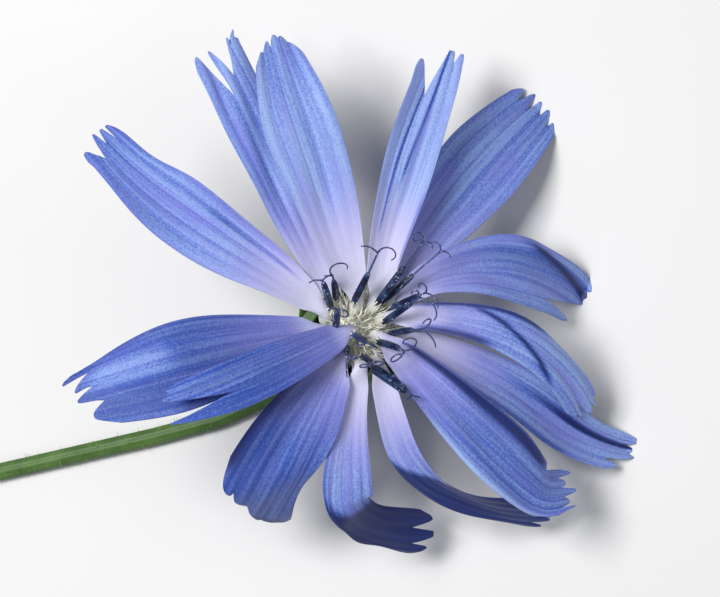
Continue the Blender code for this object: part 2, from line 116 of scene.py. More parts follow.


# %% [markdown]
# ## Where the fourteen florets stand
#
# The florets grow in two rings. Each has a thin tube that stands in the green cup and ends in a throat
# on the disc; there the strap leaves. The rings and tubes have the sizes that the solids have.
#
# Every strap is one entry: length and width, heading and pitch at a few knots along it, and then what
# this one does that the others don't. `roll` lays it on its edge, `cup` curls it across, `pleat` folds
# it lengthwise and `bites` pinch a margin. `cuts` says where its end is slit and `teeth` how deep, and
# `tips`, `lean` and `curl` move its fingers one by one. The last entries paint light and shade into its
# blue. Along the strap they paint shade where the value is above 0 and a silvery highlight where it is
# below. Lengthwise bands paint shadow, and highlight where a band's amount is below 0. Past the slanting
# line of `turned`, where the strap has turned away from the light, the blue gets painted shade.

# %% Rings and tubes
OVARY_FOOT = -8.6
OVARY_TOP = -6.6
OVARY_RADIUS = 0.36
TUBE_RADIUS = 0.33
THROAT_RADIUS = 0.46
TUBE_BEND = -2.2
RING_FOOT = {"outer": 1.9, "inner": 0.85}
RING_THROAT = {"outer": 2.7, "inner": 1.25}
THROAT_HEIGHT = {"outer": 0.0, "inner": 0.7}
THROAT_PITCH = 78.0
RING_START = {"outer": 40.0, "inner": 46.0}
RING_STEP = {"outer": 40.0, "inner": 72.0}
ELBOW = 1.5


def strap(ring, seat, length, width, heading, pitch, **more):
    """One floret: its seat on the disc, and the heading and pitch of its strap at knots along it."""
    shape = {
        "roll": (0, 0, 0, 0),
        "cup": (60, 25, 15, 5),
        "pleat": (0, 0, 0, 0),
        "pleat_at": 0.4,
        "knots": (0, 1 / 3, 2 / 3, 1),
        "crease": 25,
        "cuts": (-0.6, -0.2, 0.2, 0.6),
        "teeth": (1.3, 1.3, 1.3, 1.3),
        "shoulders": (0.5, 0.5),
        "tips": (0, 0, 0, 0, 0),
        "lean": (0, 0, 0, 0, 0),
        "curl": (0, 0, 0, 0, 0),
        "narrow": 0.25,
        "bites": (),
        "round_end": 0.05,
        "slant": 0.0,
        "swell": 1.15,
        "taper": 0.12,
        # Painted light: shade above 0 and silvery highlight below 0 at the knots, lengthwise bands of
        # painted shadow and highlight, and painted shade past the line where the strap has turned away
        # from the light.
        "deep": (0, 0, 0, 0),
        "shades": (),
        "turned": (2, 0, 0),
    }
    shape.update(ring=ring, seat=seat, length=length, width=width, heading=heading, pitch=pitch)
    shape.update(more)
    return shape


FLORETS = [
    strap("outer", 27, 21.4, 6.2, (35, 28, 23, 18), (2, -4, -10, -14), cup=(60, 30, 30, 30), taper=0.33,
          teeth=(1.2, 1.3, 1.7, 1.5), narrow=0.2, lean=(0.03, 0.06, 0.06, 0.05, 0.04),
          deep=(0.3, 0.15, 0.15, 0.3)),
    strap("outer", 120, 21.8, 4.4, (95, 89, 87, 88), (8, 0, -8, -12), cup=(70, 40, 10, -10),
          cuts=(-0.75, -0.55, -0.3, 0.1), teeth=(0.5, 1.2, 3.5, 5.0), shoulders=(1.2, 1.8),
          round_end=0.02, slant=-0.01, tips=(-0.6, -0.2, -0.5, -1.0, -1.0),
          narrow=(0.1, 0.1, 0.2, 0.1, 0.5), lean=(-0.12, -0.25, -0.2, 0.32, 0.28),
          curl=(0, 0.4, 0, 0, 0), bites=((1, 0.6, 0.3, 0.3),), deep=(-0.2, 0, 0.15, -0.2)),
    strap("outer", 146, 21.5, 5.2, (120, 127, 117, 102), (12, 2, -6, -10), cup=(70, 30, 25, 20),
          taper=0.4, swell=1.25, cuts=(-0.6, -0.15, 0.3), teeth=(1.3, 1.2, 2.1), shoulders=(0.6, 1.4),
          round_end=0.0, tips=(0.1, 0.1, 0, -0.8), lean=(0.12, 0, 0, 0.25),
          bites=((-1, 0.81, 0.32, 0.1), (1, 0.86, 0.32, 0.12)), deep=(-0.2, -0.15, 0.15, 0.45),
          shades=((-0.55, 0.1, 0.12, 0.6, 0.45), (-0.9, 0.15, 0.1, 0.75, 0.15))),
    strap("outer", 170, 20.0, 6.3, (171, 171, 171, 171), (4, 0, -8, -18), taper=0.15,
          cuts=(-0.5, -0.1, 0.3), teeth=(2.2, 2.2, 2.7), shoulders=(1.0, 3.4), round_end=0.0,
          tips=(-0.2, -0.9, -0.9, -1.7), narrow=(0.4, 0.3, 0.3, 0.2), lean=(0.4, 0.25, 0.1, 0.05),
          bites=((-1, 1.05, 1.6, 0.26), (1, 1.0, 0.4, 0.18), (1, 0.62, -0.12, 0.15)),
          deep=(0.5, 0.65, 0.65, 0.65),
          shades=((0.5, 0.13, 0.42, 0.64, 0.95), (-0.3, 0.35, 0.55, 0.95, 0.1))),
    strap("outer", 212, 17.0, 6.9, (212, 218, 229, 238), (1, -24, -62, -80), cup=(60, 15, -30, -50),
          taper=0.0, teeth=(0.6, 0.8, 0.8, 0.5), shoulders=(2.8, 0.2), round_end=0.02, slant=0.2,
          tips=(0.1, 0.1, -0.3, 0, 0.6), narrow=0.1, curl=(0.2, -0.4, 0, -0.4, 0.3),
          bites=((-1, 0.92, -0.25, 0.2), (1, 0.7, 0.95, 0.32)), deep=(0.5, 0.55, 0.55, 0.7),
          turned=(0.95, 0, 0.95), shades=((-0.97, 0.22, 0.05, 0.78, 1.0),)),
    strap("outer", 240, 21.2, 4.2, (231, 254, 324, 344), (-14, -31, -58, -5), roll=(0, 0, 30, 35),
          swell=2, cup=(60, 0, -20, 0), knots=(0, 0.495, 0.58, 1), crease=5, cuts=(-0.4, 0.2),
          teeth=(1.6, 1.8), tips=(0, 0.3, 0.2),
          bites=((-1, 0.6, 1.0, 0.12), (-1, 0.8, 0.9, 0.12), (1, 0.7, 0.5, 0.12)),
          deep=(-0.1, 0, 0.3, 0.35), turned=(0.54, -0.08, 1.0), shades=((-0.95, 0.15, 0.1, 0.7, 0.5),)),
    strap("outer", 262, 21.2, 2.8, (256, 270, 312, 343), (0, -24, -24, -4), roll=(0, 35, 70, 60),
          cup=(80, 70, 50, 20), knots=(0, 0.3, 0.5, 1), taper=-0.3, deep=(-0.1, -0.1, 0.1, 0.1),
          bites=((-1, 0.72, 0.6, 0.25),), turned=(0.42, -0.09, 0.95)),
    strap("outer", 315, 21.3, 4.0, (319, 313, 308, 335), (1, -11, -23, -15), cup=(60, 20, 10, 10),
          pleat=(0, 10, 60, 70), pleat_at=0.3, taper=0.25, cuts=(-0.5, -0.1, 0.4), teeth=(2.4, 0.4, 1.0),
          shoulders=(1.4, 0.3), tips=(-0.8, 0.1, 0.2, 0.9), deep=(-0.2, 0, 0.1, 0),
          shades=((0.32, 0.14, 0.6, 1.0, 1.0), (-0.95, 0.12, 0.1, 0.8, 0.5))),
    strap("outer", 360, 19.2, 5.1, (402, 355, 334, 318), (37, 8, -23, -48), cup=(60, 20, 10, -10),
          knots=(0, 0.22, 0.55, 1), swell=1.7, pleat=(0, 0, 25, 55), pleat_at=0.45, taper=0.3,
          cuts=(-0.6, 0, 0.6), teeth=(5.4, 0.3, 0.3), shoulders=(1.9, 0.3), tips=(-1.2, -0.4, 0.2, 0.4),
          narrow=(0.4, 0.3, 0.1, 0.1), lean=(-0.1, 0.3, 0.1, 0), deep=(0.4, 0.3, 0.15, 0.15),
          shades=(((0.9, 0.15), 0.12, 0.55, 1.05, 1.1),)),
    strap("inner", 38, 20.5, 4.3, (61, 50, 46, 44), (18, 6, -1, -4), cup=(90, 100, 100, 60),
          cuts=(-0.6, 0.2), teeth=(0.9, 4.1), tips=(0.2, 0.5, -1.9), round_end=0.0, taper=0.35,
          narrow=(0.3, 0.4, 0.2), lean=(-0.12, -0.12, 0.35), curl=(0.1, 0, 0.2), shoulders=(0.5, 2.8),
          bites=((-1, 0.72, 0.15, 0.15),), deep=(-0.5, -0.7, -0.3, -0.1),
          shades=(((0.5, 0.2), 0.06, 0.2, 1.1, 0.75), ((0.1, -0.3), 0.06, 0.4, 1.1, 0.75),
                  (-0.95, 0.1, 0.1, 0.5, 0.4))),
    strap("inner", 95, 21.2, 5.5, (90, 85, 81, 74), (22, 8, -6, -14), cup=(70, 35, 25, 25), taper=0.45,
          teeth=(0.15, 0.25, 0.8, 0.5), shoulders=(0.2, 0.2), round_end=0.09, slant=-0.02, narrow=0.1,
          bites=((1, 1.0, 0.4, 0.12),), deep=(-0.45, -0.4, -0.2, 0.1)),
    strap("inner", 190, 16.0, 3.5, (186, 184, 180, 175), (18, 8, 2, -4), cup=(80, 40, 10, 0),
          cuts=(-0.5, 0.2), teeth=(0.5, 5.0), tips=(0, 0.2, 0.6), bites=((1, 1.0, 0.25, 0.2),),
          narrow=(0.3, 0.5, 0.7), lean=(-0.15, -0.3, 0.1), deep=(0.55, 0.65, 0.6, 0.45)),
    strap("inner", 280, 20.8, 4.9, (284, 291, 306, 350), (22, 0, -30, -30), cup=(60, 20, 0, 0), crease=13,
          knots=(0, 0.38, 0.8, 0.9), taper=0.3, shoulders=(2.6, 0.5), round_end=0.03, slant=0.02,
          tips=(0, -0.3, 0.1, -0.3, 0), curl=(0.3, -0.3, 0.3, -0.3, 0.2),
          bites=((1, 0.85, 0.3, 0.15), (-1, 0.97, 0.7, 0.12)), deep=(0.3, 0.35, 0.35, 0.3),
          shades=((0.8, 0.2, 0.05, 0.85, 1.2), (-0.95, 0.06, 0.3, 0.9, -0.6))),
    strap("inner", 344, 19.2, 3.6, (337, 325, 308, 291), (24, 8, -22, -42), cup=(60, 10, -60, -100),
          swell=1.5, cuts=(-0.6, -0.3, 0.2, 0.6), teeth=(0.4, 2.0, 0.6, 0.6),
          bites=((-1, 0.5, 0.45, 0.3),),
          shades=((-0.85, 0.35, 0.08, 0.5, 0.9), (0.9, 0.16, 0.1, 0.7, 1.0),
                  ((1.1, -1.0), 0.14, 0.28, 0.8, 1.0))),
]


def throat(shape):
    """Where a floret's tube ends and its strap starts."""
    return polar(RING_THROAT[shape["ring"]], shape["seat"], THROAT_HEIGHT[shape["ring"]])


print(len(FLORETS), "florets, the longest strap", max(shape["length"] for shape in FLORETS), "mm")

# %% [markdown]
# ## The line that a strap follows
#
# Walking along the heading and pitch draws the strap's middle line. Two cross directions travel with
# it: `side` across the blade and `up` out of its face. A roll turns them both about the line, which
# lays a blade on its edge.

# %% Strap lines
FINE_ROWS = 201
FINE_COLUMNS = 81
ROOT_WIDTH = 1.5
ROOT_CUP = 200.0
ROOT_UNROLL = 2.5
WIDEST_AT = 0.62


def at_knots(shape, key, x):
    """One of the strap's values that change along it."""
    return eased(x, shape[key], shape["knots"], shape["crease"])


def strap_line(shape):
    """Middle line of a strap with its two cross directions, at many places along it."""
    x = np.linspace(0, 1, FINE_ROWS)
    along = x * shape["length"]
    heading = at_knots(shape, "heading", x)
    pitch = at_knots(shape, "pitch", x)
    pitch = pitch + (THROAT_PITCH - pitch) * (1 - rise(along / ELBOW))
    forward = heading_vector(heading, pitch)
    side = side_vector(heading)
    up = np.cross(forward, side)
    roll = np.radians(at_knots(shape, "roll", x))[:, None]
    side, up = side * np.cos(roll) + up * np.sin(roll), up * np.cos(roll) - side * np.sin(roll)
    steps = (forward[1:] + forward[:-1]) / 2 * shape["length"] / (FINE_ROWS - 1)
    line = throat(shape) + np.vstack([np.zeros(3), np.cumsum(steps, axis=0)])
    return x, along, line, side, up


def strap_width(shape, x):
    """Width along a strap: narrow at the tube, widest past the middle."""
    grown = np.sin(np.minimum(x / WIDEST_AT, 1) * math.pi / 2) ** shape["swell"]
    narrowed = 1 - shape["taper"] * np.clip((x - WIDEST_AT) / (1 - WIDEST_AT), 0, 1) ** 1.5
    return (ROOT_WIDTH + (shape["width"] - ROOT_WIDTH) * grown) * narrowed


# %% [markdown]
# ## The blade across its width
#
# Five petals grew together into each strap, which is why it ends in five teeth. Their seams are still
# there as four shallow grooves that run down from the notches. So a section across the blade is a
# gentle cup, five soft ribs, a slow unevenness that no two straps share, a waved margin, and on some
# straps a pleat: a steep step on the way across.

# %% Strap surface
RIBS = 5
RIB_HEIGHT = 0.05
SWELL_HEIGHT = 0.10
WAVE_HEIGHT = 0.16
PLEAT_REACH = 0.2
RELIEF_SEED = 100


def running_sum(slopes, u):
    """Distance from the middle column, added up from the slopes across a strap."""
    steps = (slopes[:, 1:] + slopes[:, :-1]) / 2 * (u[1] - u[0])
    total = np.hstack([np.zeros((len(slopes), 1)), np.cumsum(steps, axis=1)])
    return total - total[:, [FINE_COLUMNS // 2]]


def relief(x, u, seed):
    """How far the blade stands off its plain section: ribs, a slow swell and waved margins."""
    draw = np.random.default_rng(RELIEF_SEED + seed)
    heights = np.interp(u, np.linspace(-0.8, 0.8, RIBS), draw.uniform(0.5, 1.3, RIBS))
    ribs = RIB_HEIGHT * heights * np.sin(math.pi * RIBS * (u + 1) / 2) ** 2
    swell = np.zeros((len(x), len(u)))
    for _ in range(3):
        crosswise, lengthwise, start = draw.uniform(0.8, 2.6), draw.uniform(0.8, 2.6), draw.uniform(0, 6)
        swell += SWELL_HEIGHT / 2 * np.sin(2 * math.pi * (crosswise * u / 2 + lengthwise * x) + start)
    margins = 0
    for edge in (-1, 1):
        swing = np.sin(x * draw.uniform(9, 15) + draw.uniform(0, 6)) * WAVE_HEIGHT
        margins = margins + swing * np.clip(u * edge, 0, 1) ** 2.5
    return ribs * rise((x - 0.08) / 0.4) + (swell + margins) * rise((x - 0.1) / 0.4)


def pleat_band(shape, u):
    """1 on the steep step that a pleat makes across the strap, and 0 away from it."""
    return rise(1.3 - np.abs(u - shape["pleat_at"]) / PLEAT_REACH)


def strap_sheet(shape, seed):
    """The strap's middle surface as a fine grid, rows along it and columns across."""
    x, along, line, side, up = strap_line(shape)
    u = np.linspace(-1, 1, FINE_COLUMNS)
    cup = at_knots(shape, "cup", x)
    cup = np.radians(cup + (ROOT_CUP - cup) * np.clip(1 - along / ROOT_UNROLL, 0, 1) ** 1.5)
    pleat = np.radians(at_knots(shape, "pleat", x))
    slope = cup[:, None] / 2 * u + pleat[:, None] * pleat_band(shape, u)
    half = strap_width(shape, x)[:, None] / 2 * np.ones(FINE_COLUMNS)
    for edge, place, depth, reach in shape["bites"]:
        dip = depth * np.exp(-(((x - place) / reach) ** 2))
        half = half * (1 - dip[:, None] * np.clip(u * edge, 0, 1) ** 1.5)
    out = running_sum(np.cos(slope) * half, u)
    lift = running_sum(np.sin(slope) * half, u) + relief(x[:, None], u, seed)
    return line[:, None] + side[:, None] * out[..., None] + up[:, None] * lift[..., None], up


def read_sheet(sheet, x, u):
    """Points of the fine grid at any place, by straight interpolation."""
    row, column = x * (FINE_ROWS - 1), (u + 1) / 2 * (FINE_COLUMNS - 1)
    i = np.clip(np.floor(row).astype(int), 0, FINE_ROWS - 2)
    j = np.clip(np.floor(column).astype(int), 0, FINE_COLUMNS - 2)
    a, b = (row - i)[..., None], (column - j)[..., None]
    near = sheet[i, j] * (1 - b) + sheet[i, j + 1] * b
    far = sheet[i + 1, j] * (1 - b) + sheet[i + 1, j + 1] * b
    return near * (1 - a) + far * a


# %% [markdown]
# ## Teeth
#
# The rows of the mesh crowd together towards the end and stop at the toothed outline, so the teeth are
# cut by the grid itself and need no Boolean. A tooth is a rounded finger with a narrow slit beside it:
# its outline falls away with a high power of the distance from its middle. Past the slit's foot each
# finger may narrow, lean and curl.

# %% Tooth outline
ROWS = 104
COLUMNS = 81
TOOTH_POWER = 2.6
SHORTEST_FINGER = 0.2


def finger_places(shape, u):
    """For each column: its finger, that finger's middle, and the column's place on it from -1 to 1."""
    edges = np.array([-1.0, *shape["cuts"], 1.0])
    finger = np.clip(np.searchsorted(edges, u + 1e-9, side="right") - 1, 0, len(edges) - 2)
    middles, halves = (edges[1:] + edges[:-1]) / 2, (edges[1:] - edges[:-1]) / 2
    return finger, middles[finger], (u - middles[finger]) / halves[finger]


def finger_slits(shape):
    """Depth of the slit on each side of every finger, with the shoulders at the two margins."""
    depths = np.array([shape["shoulders"][0], *shape["teeth"], shape["shoulders"][1]])
    return depths[:-1], depths[1:]


def plain_end(shape, u):
    """Where the strap would end without teeth, as a share of its length."""
    return 1 - shape["round_end"] * u**2 + shape["slant"] * u


def strap_reach(shape, u):
    """How far along the strap its toothed end lies in each column, as a share of its length."""
    finger, _, v = finger_places(shape, u)
    before, after = finger_slits(shape)
    slit = np.where(v < 0, before[finger], after[finger])
    fall = slit * np.abs(v) ** TOOTH_POWER
    extra = np.array(shape["tips"])[finger] * (1 - np.abs(v) ** TOOTH_POWER)
    return plain_end(shape, u) + (extra - fall) / shape["length"]


def finger_share(shape, u, x):
    """How far each point lies along its own finger, from 0 at the slit's foot to 1 at the tip."""
    finger, middle, _ = finger_places(shape, u)
    before, after = finger_slits(shape)
    extra = np.array(shape["tips"])[finger]
    reach = np.maximum(np.maximum(before, after)[finger] + extra, SHORTEST_FINGER) / shape["length"]
    tip = plain_end(shape, middle) + extra / shape["length"]
    return np.clip((x - tip + reach) / reach, 0, 1)


# %% [markdown]
# ## Thickness and tube
#
# The blade is a closed skin: two faces 0.16 mm apart in the middle and closer at the margins. At its
# start the same rows close into a round tube, and go on down to the ovary.

# %% Corolla skin
BLADE_MIDDLE = 0.16
BLADE_MARGIN = 0.05
SETTLE = 0.22  # how far the tips sink under their own weight
SKIN_START = 0.5  # where the round tube starts to open into the blade
SKIN_END = 2.6
PROBE = 0.006  # step on the sheet over which its slope is read
TUBE_SPREAD = 84.0  # half the turn of one half of a tube's section
# The crease of a pleat this steep gets the darkest painted shade.
FULL_PLEAT = 70.0  # a pleat this steep has the deepest blue
FOOT_EDGE = 0.3
OVARY_NECK = 0.6
FLARE_START = -3.0  # over this height and length the tube widens to its throat
FLARE_LENGTH = 2.4
FLARE_HEIGHTS = (-1.5, -1.1, -0.6)
# How fast a painted band of shade or highlight fades in at its two ends.
SHADE_FADE = 0.12
# Over this share of the strap's length the painted shade of a turned-away end fades in.
TURN_FADE = 0.05


def along_line(parts, places, wanted):
    """Rows of points read at other places along a line."""
    return np.stack([np.interp(wanted, places, parts[:, k]) for k in range(3)], axis=-1)


def round_section(centre, side, up, radius, u):
    """A round tube's section: its upper and its lower row of points."""
    angle = np.radians(90 - u * TUBE_SPREAD)[:, None]
    over = side * np.cos(angle) * radius
    lift = up * np.sin(angle) * radius
    return np.stack([centre + over + lift, centre + over - lift])


def blade_skin(shape, seed):
    """Upper and lower points of a blade, with where each lies along it and across it."""
    rows = np.linspace(0, 1, ROWS)[:, None]
    u = np.linspace(-1, 1, COLUMNS)[None, :]
    x = np.clip(rows - (1 - strap_reach(shape, u)) * rows**4, 0, 1)
    share = finger_share(shape, u, x) ** 1.4
    finger, middle_of_finger, _ = finger_places(shape, u)
    narrow = np.broadcast_to(shape["narrow"], len(shape["tips"]))[finger]
    across = u - (u - middle_of_finger) * narrow * share + np.array(shape["lean"])[finger] * share
    sheet, up = strap_sheet(shape, seed)
    fine_x = np.linspace(0, 1, FINE_ROWS)
    out_of_face = along_line(up, fine_x, x)
    middle = read_sheet(sheet, x, across)
    ahead = read_sheet(sheet, x + PROBE, across) - read_sheet(sheet, x - PROBE, across)
    leftward = read_sheet(sheet, x, across + PROBE) - read_sheet(sheet, x, across - PROBE)
    normal = unit(np.cross(ahead, leftward))
    middle = middle + out_of_face * (np.array(shape["curl"])[finger] * share**2)[..., None]
    half = BLADE_MARGIN / 2 + (BLADE_MIDDLE - BLADE_MARGIN) / 2 * (1 - u**4) * (1 - 0.7 * rows**8)
    skin = np.stack([middle + normal * half[..., None], middle - normal * half[..., None]])
    _, _, line, side, up = strap_line(shape)
    flat = rise((rows * shape["length"] - SKIN_START) / (SKIN_END - SKIN_START))[..., None]
    for r in range(ROWS):
        if flat[r, 0, 0] < 1:
            spot = [along_line(part, fine_x, rows[r, 0]) for part in (line, side, up)]
            ring = round_section(*spot, THROAT_RADIUS, u[0])
            skin[:, r] = ring + (skin[:, r] - ring) * flat[r]
    return skin, x, across


def tube_skin(shape, rank):
    """Upper and lower points of a floret's ovary and tube, from its foot to just under the throat."""
    ring = shape["ring"]
    u = np.linspace(-1, 1, COLUMNS)
    foot_angle = RING_START[ring] + RING_STEP[ring] * rank
    turn = (shape["seat"] - foot_angle + 180) % 360 - 180
    side = side_vector(np.array(float(shape["heading"][0])))
    up = np.cross(np.array([0.0, 0.0, 1.0]), side)
    sections = []
    heights = (OVARY_FOOT, OVARY_FOOT + FOOT_EDGE, *np.linspace(OVARY_TOP, TUBE_BEND, 5), *FLARE_HEIGHTS)
    for height in heights:
        radius = OVARY_RADIUS + (TUBE_RADIUS - OVARY_RADIUS) * rise((height - OVARY_TOP) / OVARY_NECK)
        radius = radius + (THROAT_RADIUS - TUBE_RADIUS) * rise((height - FLARE_START) / FLARE_LENGTH)
        share = rise((height - OVARY_TOP) / (TUBE_BEND - OVARY_TOP))
        spread = rise((height - TUBE_BEND) / (THROAT_HEIGHT[ring] - TUBE_BEND))
        out = RING_FOOT[ring] + (RING_THROAT[ring] - RING_FOOT[ring]) * spread
        centre = polar(out, foot_angle + turn * share, height)
        sections.append(round_section(centre, side, up, radius, u))
    return np.stack(sections, axis=1)


def corolla_skin(shape, rank, seed):
    """Upper and lower points of a whole corolla, and the numbers that its colours follow."""
    blade, along, across = blade_skin(shape, seed)
    below = tube_skin(shape, rank)
    count = below.shape[1]
    places = np.repeat(np.linspace(-0.5, -0.02, count)[:, None], COLUMNS, axis=1)
    along = np.concatenate([places, along])
    across = np.concatenate([across[:count], across])
    skin = on_surface(np.concatenate([below, blade], axis=1))
    skin[..., 2] -= SETTLE * np.clip(along, 0, 1) ** 2
    skin[..., 2] -= np.minimum(skin[..., 2].min(axis=0), 0)
    # Painted shade in the crease of a pleat, darker the steeper the pleat.
    crease_shade = at_knots(shape, "pleat", along) / FULL_PLEAT * pleat_band(shape, across)
    # Painted shade along the strap, with a painted silvery highlight where the value is below 0.
    deep = np.clip(at_knots(shape, "deep", along) + crease_shade, -1, 1)
    # Lengthwise bands of painted shadow, cast by a neighbouring strap or lying in a fold, and of painted
    # highlight where the amount is below 0.
    for place, reach, start, end, amount in shape["shades"]:
        middle = np.interp(along, (start, end), np.broadcast_to(place, 2))
        band = np.exp(-(((across - middle) / reach) ** 2))
        begun, left = rise((along - start) / SHADE_FADE), rise((end - along) / SHADE_FADE)
        deep = deep + (amount - deep) * band * begun * left
    # Past a slanting line the strap has turned away from the light, and the blue there gets painted
    # shade.
    place, slant, amount = shape["turned"]
    deep = deep + (amount - deep) * rise((along + slant * across - place) / TURN_FADE)
    return skin, {"along": along, "across": across, "deep": deep}


# %% [markdown]
# A grid of two faces becomes a mesh with one quad per cell, a strip of quads round the rim, and a few
# stored numbers per point: `along` and `across` the strap, the painted shading (shade above 0, silvery
# highlight below 0), `under`, which is 1 on the strap's back, and `own`, which sets one strap apart
# from the next. The petal's material reads them by name.

# %% Grid to mesh
def grid_faces(rows, columns):
    """Quads of a closed skin: upper face, lower face, and the rim between them."""
    def top(i, j):
        return i * columns + j

    def under(i, j):
        return rows * columns + i * columns + j

    faces = []
    for i in range(rows - 1):
        for j in range(columns - 1):
            faces.append((top(i, j), top(i + 1, j), top(i + 1, j + 1), top(i, j + 1)))
            faces.append((under(i, j + 1), under(i + 1, j + 1), under(i + 1, j), under(i, j)))
        faces.append((top(i, 0), under(i, 0), under(i + 1, 0), top(i + 1, 0)))
        end = columns - 1
        faces.append((top(i, end), top(i + 1, end), under(i + 1, end), under(i, end)))
    for j in range(columns - 1):
        end = rows - 1
        faces.append((top(0, j), top(0, j + 1), under(0, j + 1), under(0, j)))
        faces.append((top(end, j), under(end, j), under(end, j + 1), top(end, j + 1)))
    return faces


def placed(name, data):
    """A new object in the scene that shows this data."""
    thing = bpy.data.objects.new(name, data)
    bpy.context.scene.collection.objects.link(thing)
    return thing


def new_piece(name, points, faces, material=None, numbers=None):
    """Smooth piece made of points in millimetres and faces, with its numbers stored on its points."""
    mesh = bpy.data.meshes.new(name)
    mesh.from_pydata([tuple(p) for p in np.asarray(points) * MM], [], faces)
    for key, values in (numbers or {}).items():
        attribute = mesh.attributes.new(key, "FLOAT", "POINT")
        attribute.data.foreach_set("value", np.asarray(values, dtype=np.float32).ravel())
    if material:
        mesh.materials.append(material)
    mesh.shade_smooth()
    return placed(name, mesh)


corollas = []
ranks = {"outer": 0, "inner": 0}
for number, shape in enumerate(FLORETS, start=1):
    skin, numbers = corolla_skin(shape, ranks[shape["ring"]], number)
    ranks[shape["ring"]] += 1
    numbers = {key: np.stack([values, values]) for key, values in numbers.items()}
    numbers["under"] = np.stack([np.zeros(skin.shape[1:3]), np.ones(skin.shape[1:3])])
    numbers["own"] = np.full(skin.shape[:3], float(number))
    faces = grid_faces(*skin.shape[1:3])
    corollas.append(new_piece(f"petal_{number:02d}", skin.reshape(-1, 3), faces, numbers=numbers))
print(len(corollas), "corollas of", len(corollas[0].data.polygons), "faces each")

# %% [markdown]
# ## Shader maths that reads like maths
#
# Nodes are wired with Python operators. `Socket` wraps an output, and `mask * 0.5 + 0.2` adds the two
# Math nodes. `new_node` makes any other node from its type, its settings and its inputs.

# %% Shader helpers
def connect(tree, value, place):
    """Link an output to an input, or set a plain value there."""
    if isinstance(value, Socket):
        value = value.output
    if isinstance(value, bpy.types.NodeSocket):
        tree.links.new(value, place)
    else:
        place.default_value = value


def new_node(tree, kind, settings=None, places=None, **values):
    """The outputs of a new node. Its inputs go by name, or by place where several share a name."""
    node = tree.nodes.new(kind)
    for key, value in (settings or {}).items():
        setattr(node, key, value)
    for place, value in (places or {}).items():
        connect(tree, value, node.inputs[place])
    for key, value in values.items():
        connect(tree, value, node.inputs[key.replace("_", " ")])
    return node.outputs


class Socket:
    """An output of a node, with the arithmetic that this notebook uses."""

    def __init__(self, tree, output):
        self.tree = tree
        self.output = output

    def math(self, operation, *others):
        """A Math node fed with this output and the others."""
        settings, values = {"operation": operation}, dict(enumerate((self, *others)))
        return Socket(self.tree, new_node(self.tree, "ShaderNodeMath", settings, values)[0])

    def __add__(self, other):
        return self.math("ADD", other)

    def __radd__(self, other):
        return self + other

    def __sub__(self, other):
        return self.math("SUBTRACT", other)

    def __rsub__(self, other):
        return (self * -1) + other

    def __mul__(self, other):
        return self.math("MULTIPLY", other)

    def __rmul__(self, other):
        return self * other

    def __truediv__(self, other):
        return self.math("DIVIDE", other)

    def __abs__(self):
        return self.math("ABSOLUTE")

    def clamp(self):
        return self.math("MAXIMUM", 0.0).math("MINIMUM", 1.0)

    def step(self, low, high):
        """Soft step from 0 at low to 1 at high."""
        share = ((self - low) / (high - low)).clamp()
        return share * share * (3 - 2 * share)

    def sine(self):
        return self.math("SINE")


class Shader:
    """A material in the making."""

    def __init__(self, name):
        self.material = bpy.data.materials.new(name)
        self.material.use_nodes = True
        self.tree = self.material.node_tree
        self.surface = self.tree.nodes["Principled BSDF"]

    def node(self, kind, settings=None, places=None, output=0, **values):
        """One output of a new node."""
        return Socket(self.tree, new_node(self.tree, kind, settings, places, **values)[output])

    def attribute(self, name):
        return self.node("ShaderNodeAttribute", {"attribute_name": name}, output="Fac")

    def place(self):
        return self.node("ShaderNodeTexCoord", output="Object")

    def joined(self, x, y, z):
        return self.node("ShaderNodeCombineXYZ", X=x, Y=y, Z=z)

    def noise(self, vector, scale, detail=3.0, roughness=0.5):
        kind = "ShaderNodeTexNoise"
        return self.node(kind, Vector=vector, Scale=scale, Detail=detail, Roughness=roughness)

    def blend(self, share, first, second):
        """Mix of two colours, each a socket or an (r, g, b)."""
        first, second = (c if isinstance(c, Socket) else (*c, 1.0) for c in (first, second))
        return self.node("ShaderNodeMix", {"data_type": "RGBA"}, {6: first, 7: second}, 2, Factor=share)

    def bump(self, height, strength, distance):
        return self.node("ShaderNodeBump", Height=height, Strength=strength, Distance=distance)

    def finish(self, **values):
        """Set or link the surface's own sockets."""
        for key, value in values.items():
            connect(self.tree, value, self.surface.inputs[key.replace("_", " ")])
        return self.material


# %% [markdown]
# ## Petal blue
#
# The strap is clear blue, lilac and then nearly white towards the throat, and a few darker veins run its
# length. Its cells are domed and catch the light one by one; that glitter is painted in as fine
# highlights, with broader painted silvery highlights and a painted highlight along the margins. The
# back gets painted shade, a deeper and duller blue. All of that is painted from the strap's own numbers,
# so it bends exactly as the blade does. The number for painted shade runs from -1 to 1. Above 0 it
# deepens the blue where the strap lay in shade, and below 0 it paints a silvery highlight.

# %% Petal material
PETAL_BLUE = (0.100, 0.165, 0.54)
PETAL_PALE = (0.275, 0.395, 0.75)
# Colour of the painted highlights: silvery patches, glints of single cells and the margins.
PETAL_HIGHLIGHT = (0.40, 0.52, 0.80)
PETAL_VEIN = (0.060, 0.065, 0.40)
PETAL_VIOLET = (0.200, 0.190, 0.62)
# The two blues of painted shade: half shade, then full shade.
PETAL_HALF_SHADE = (0.026, 0.072, 0.37)
PETAL_FULL_SHADE = (0.008, 0.018, 0.12)
PETAL_LILAC = (0.35, 0.31, 0.68)
PETAL_WHITE = (0.60, 0.60, 0.77)
TUBE_CREAM = (0.78, 0.78, 0.62)
# Painted shade on the strap's back.
PETAL_BACK_SHADE = (0.055, 0.090, 0.36)


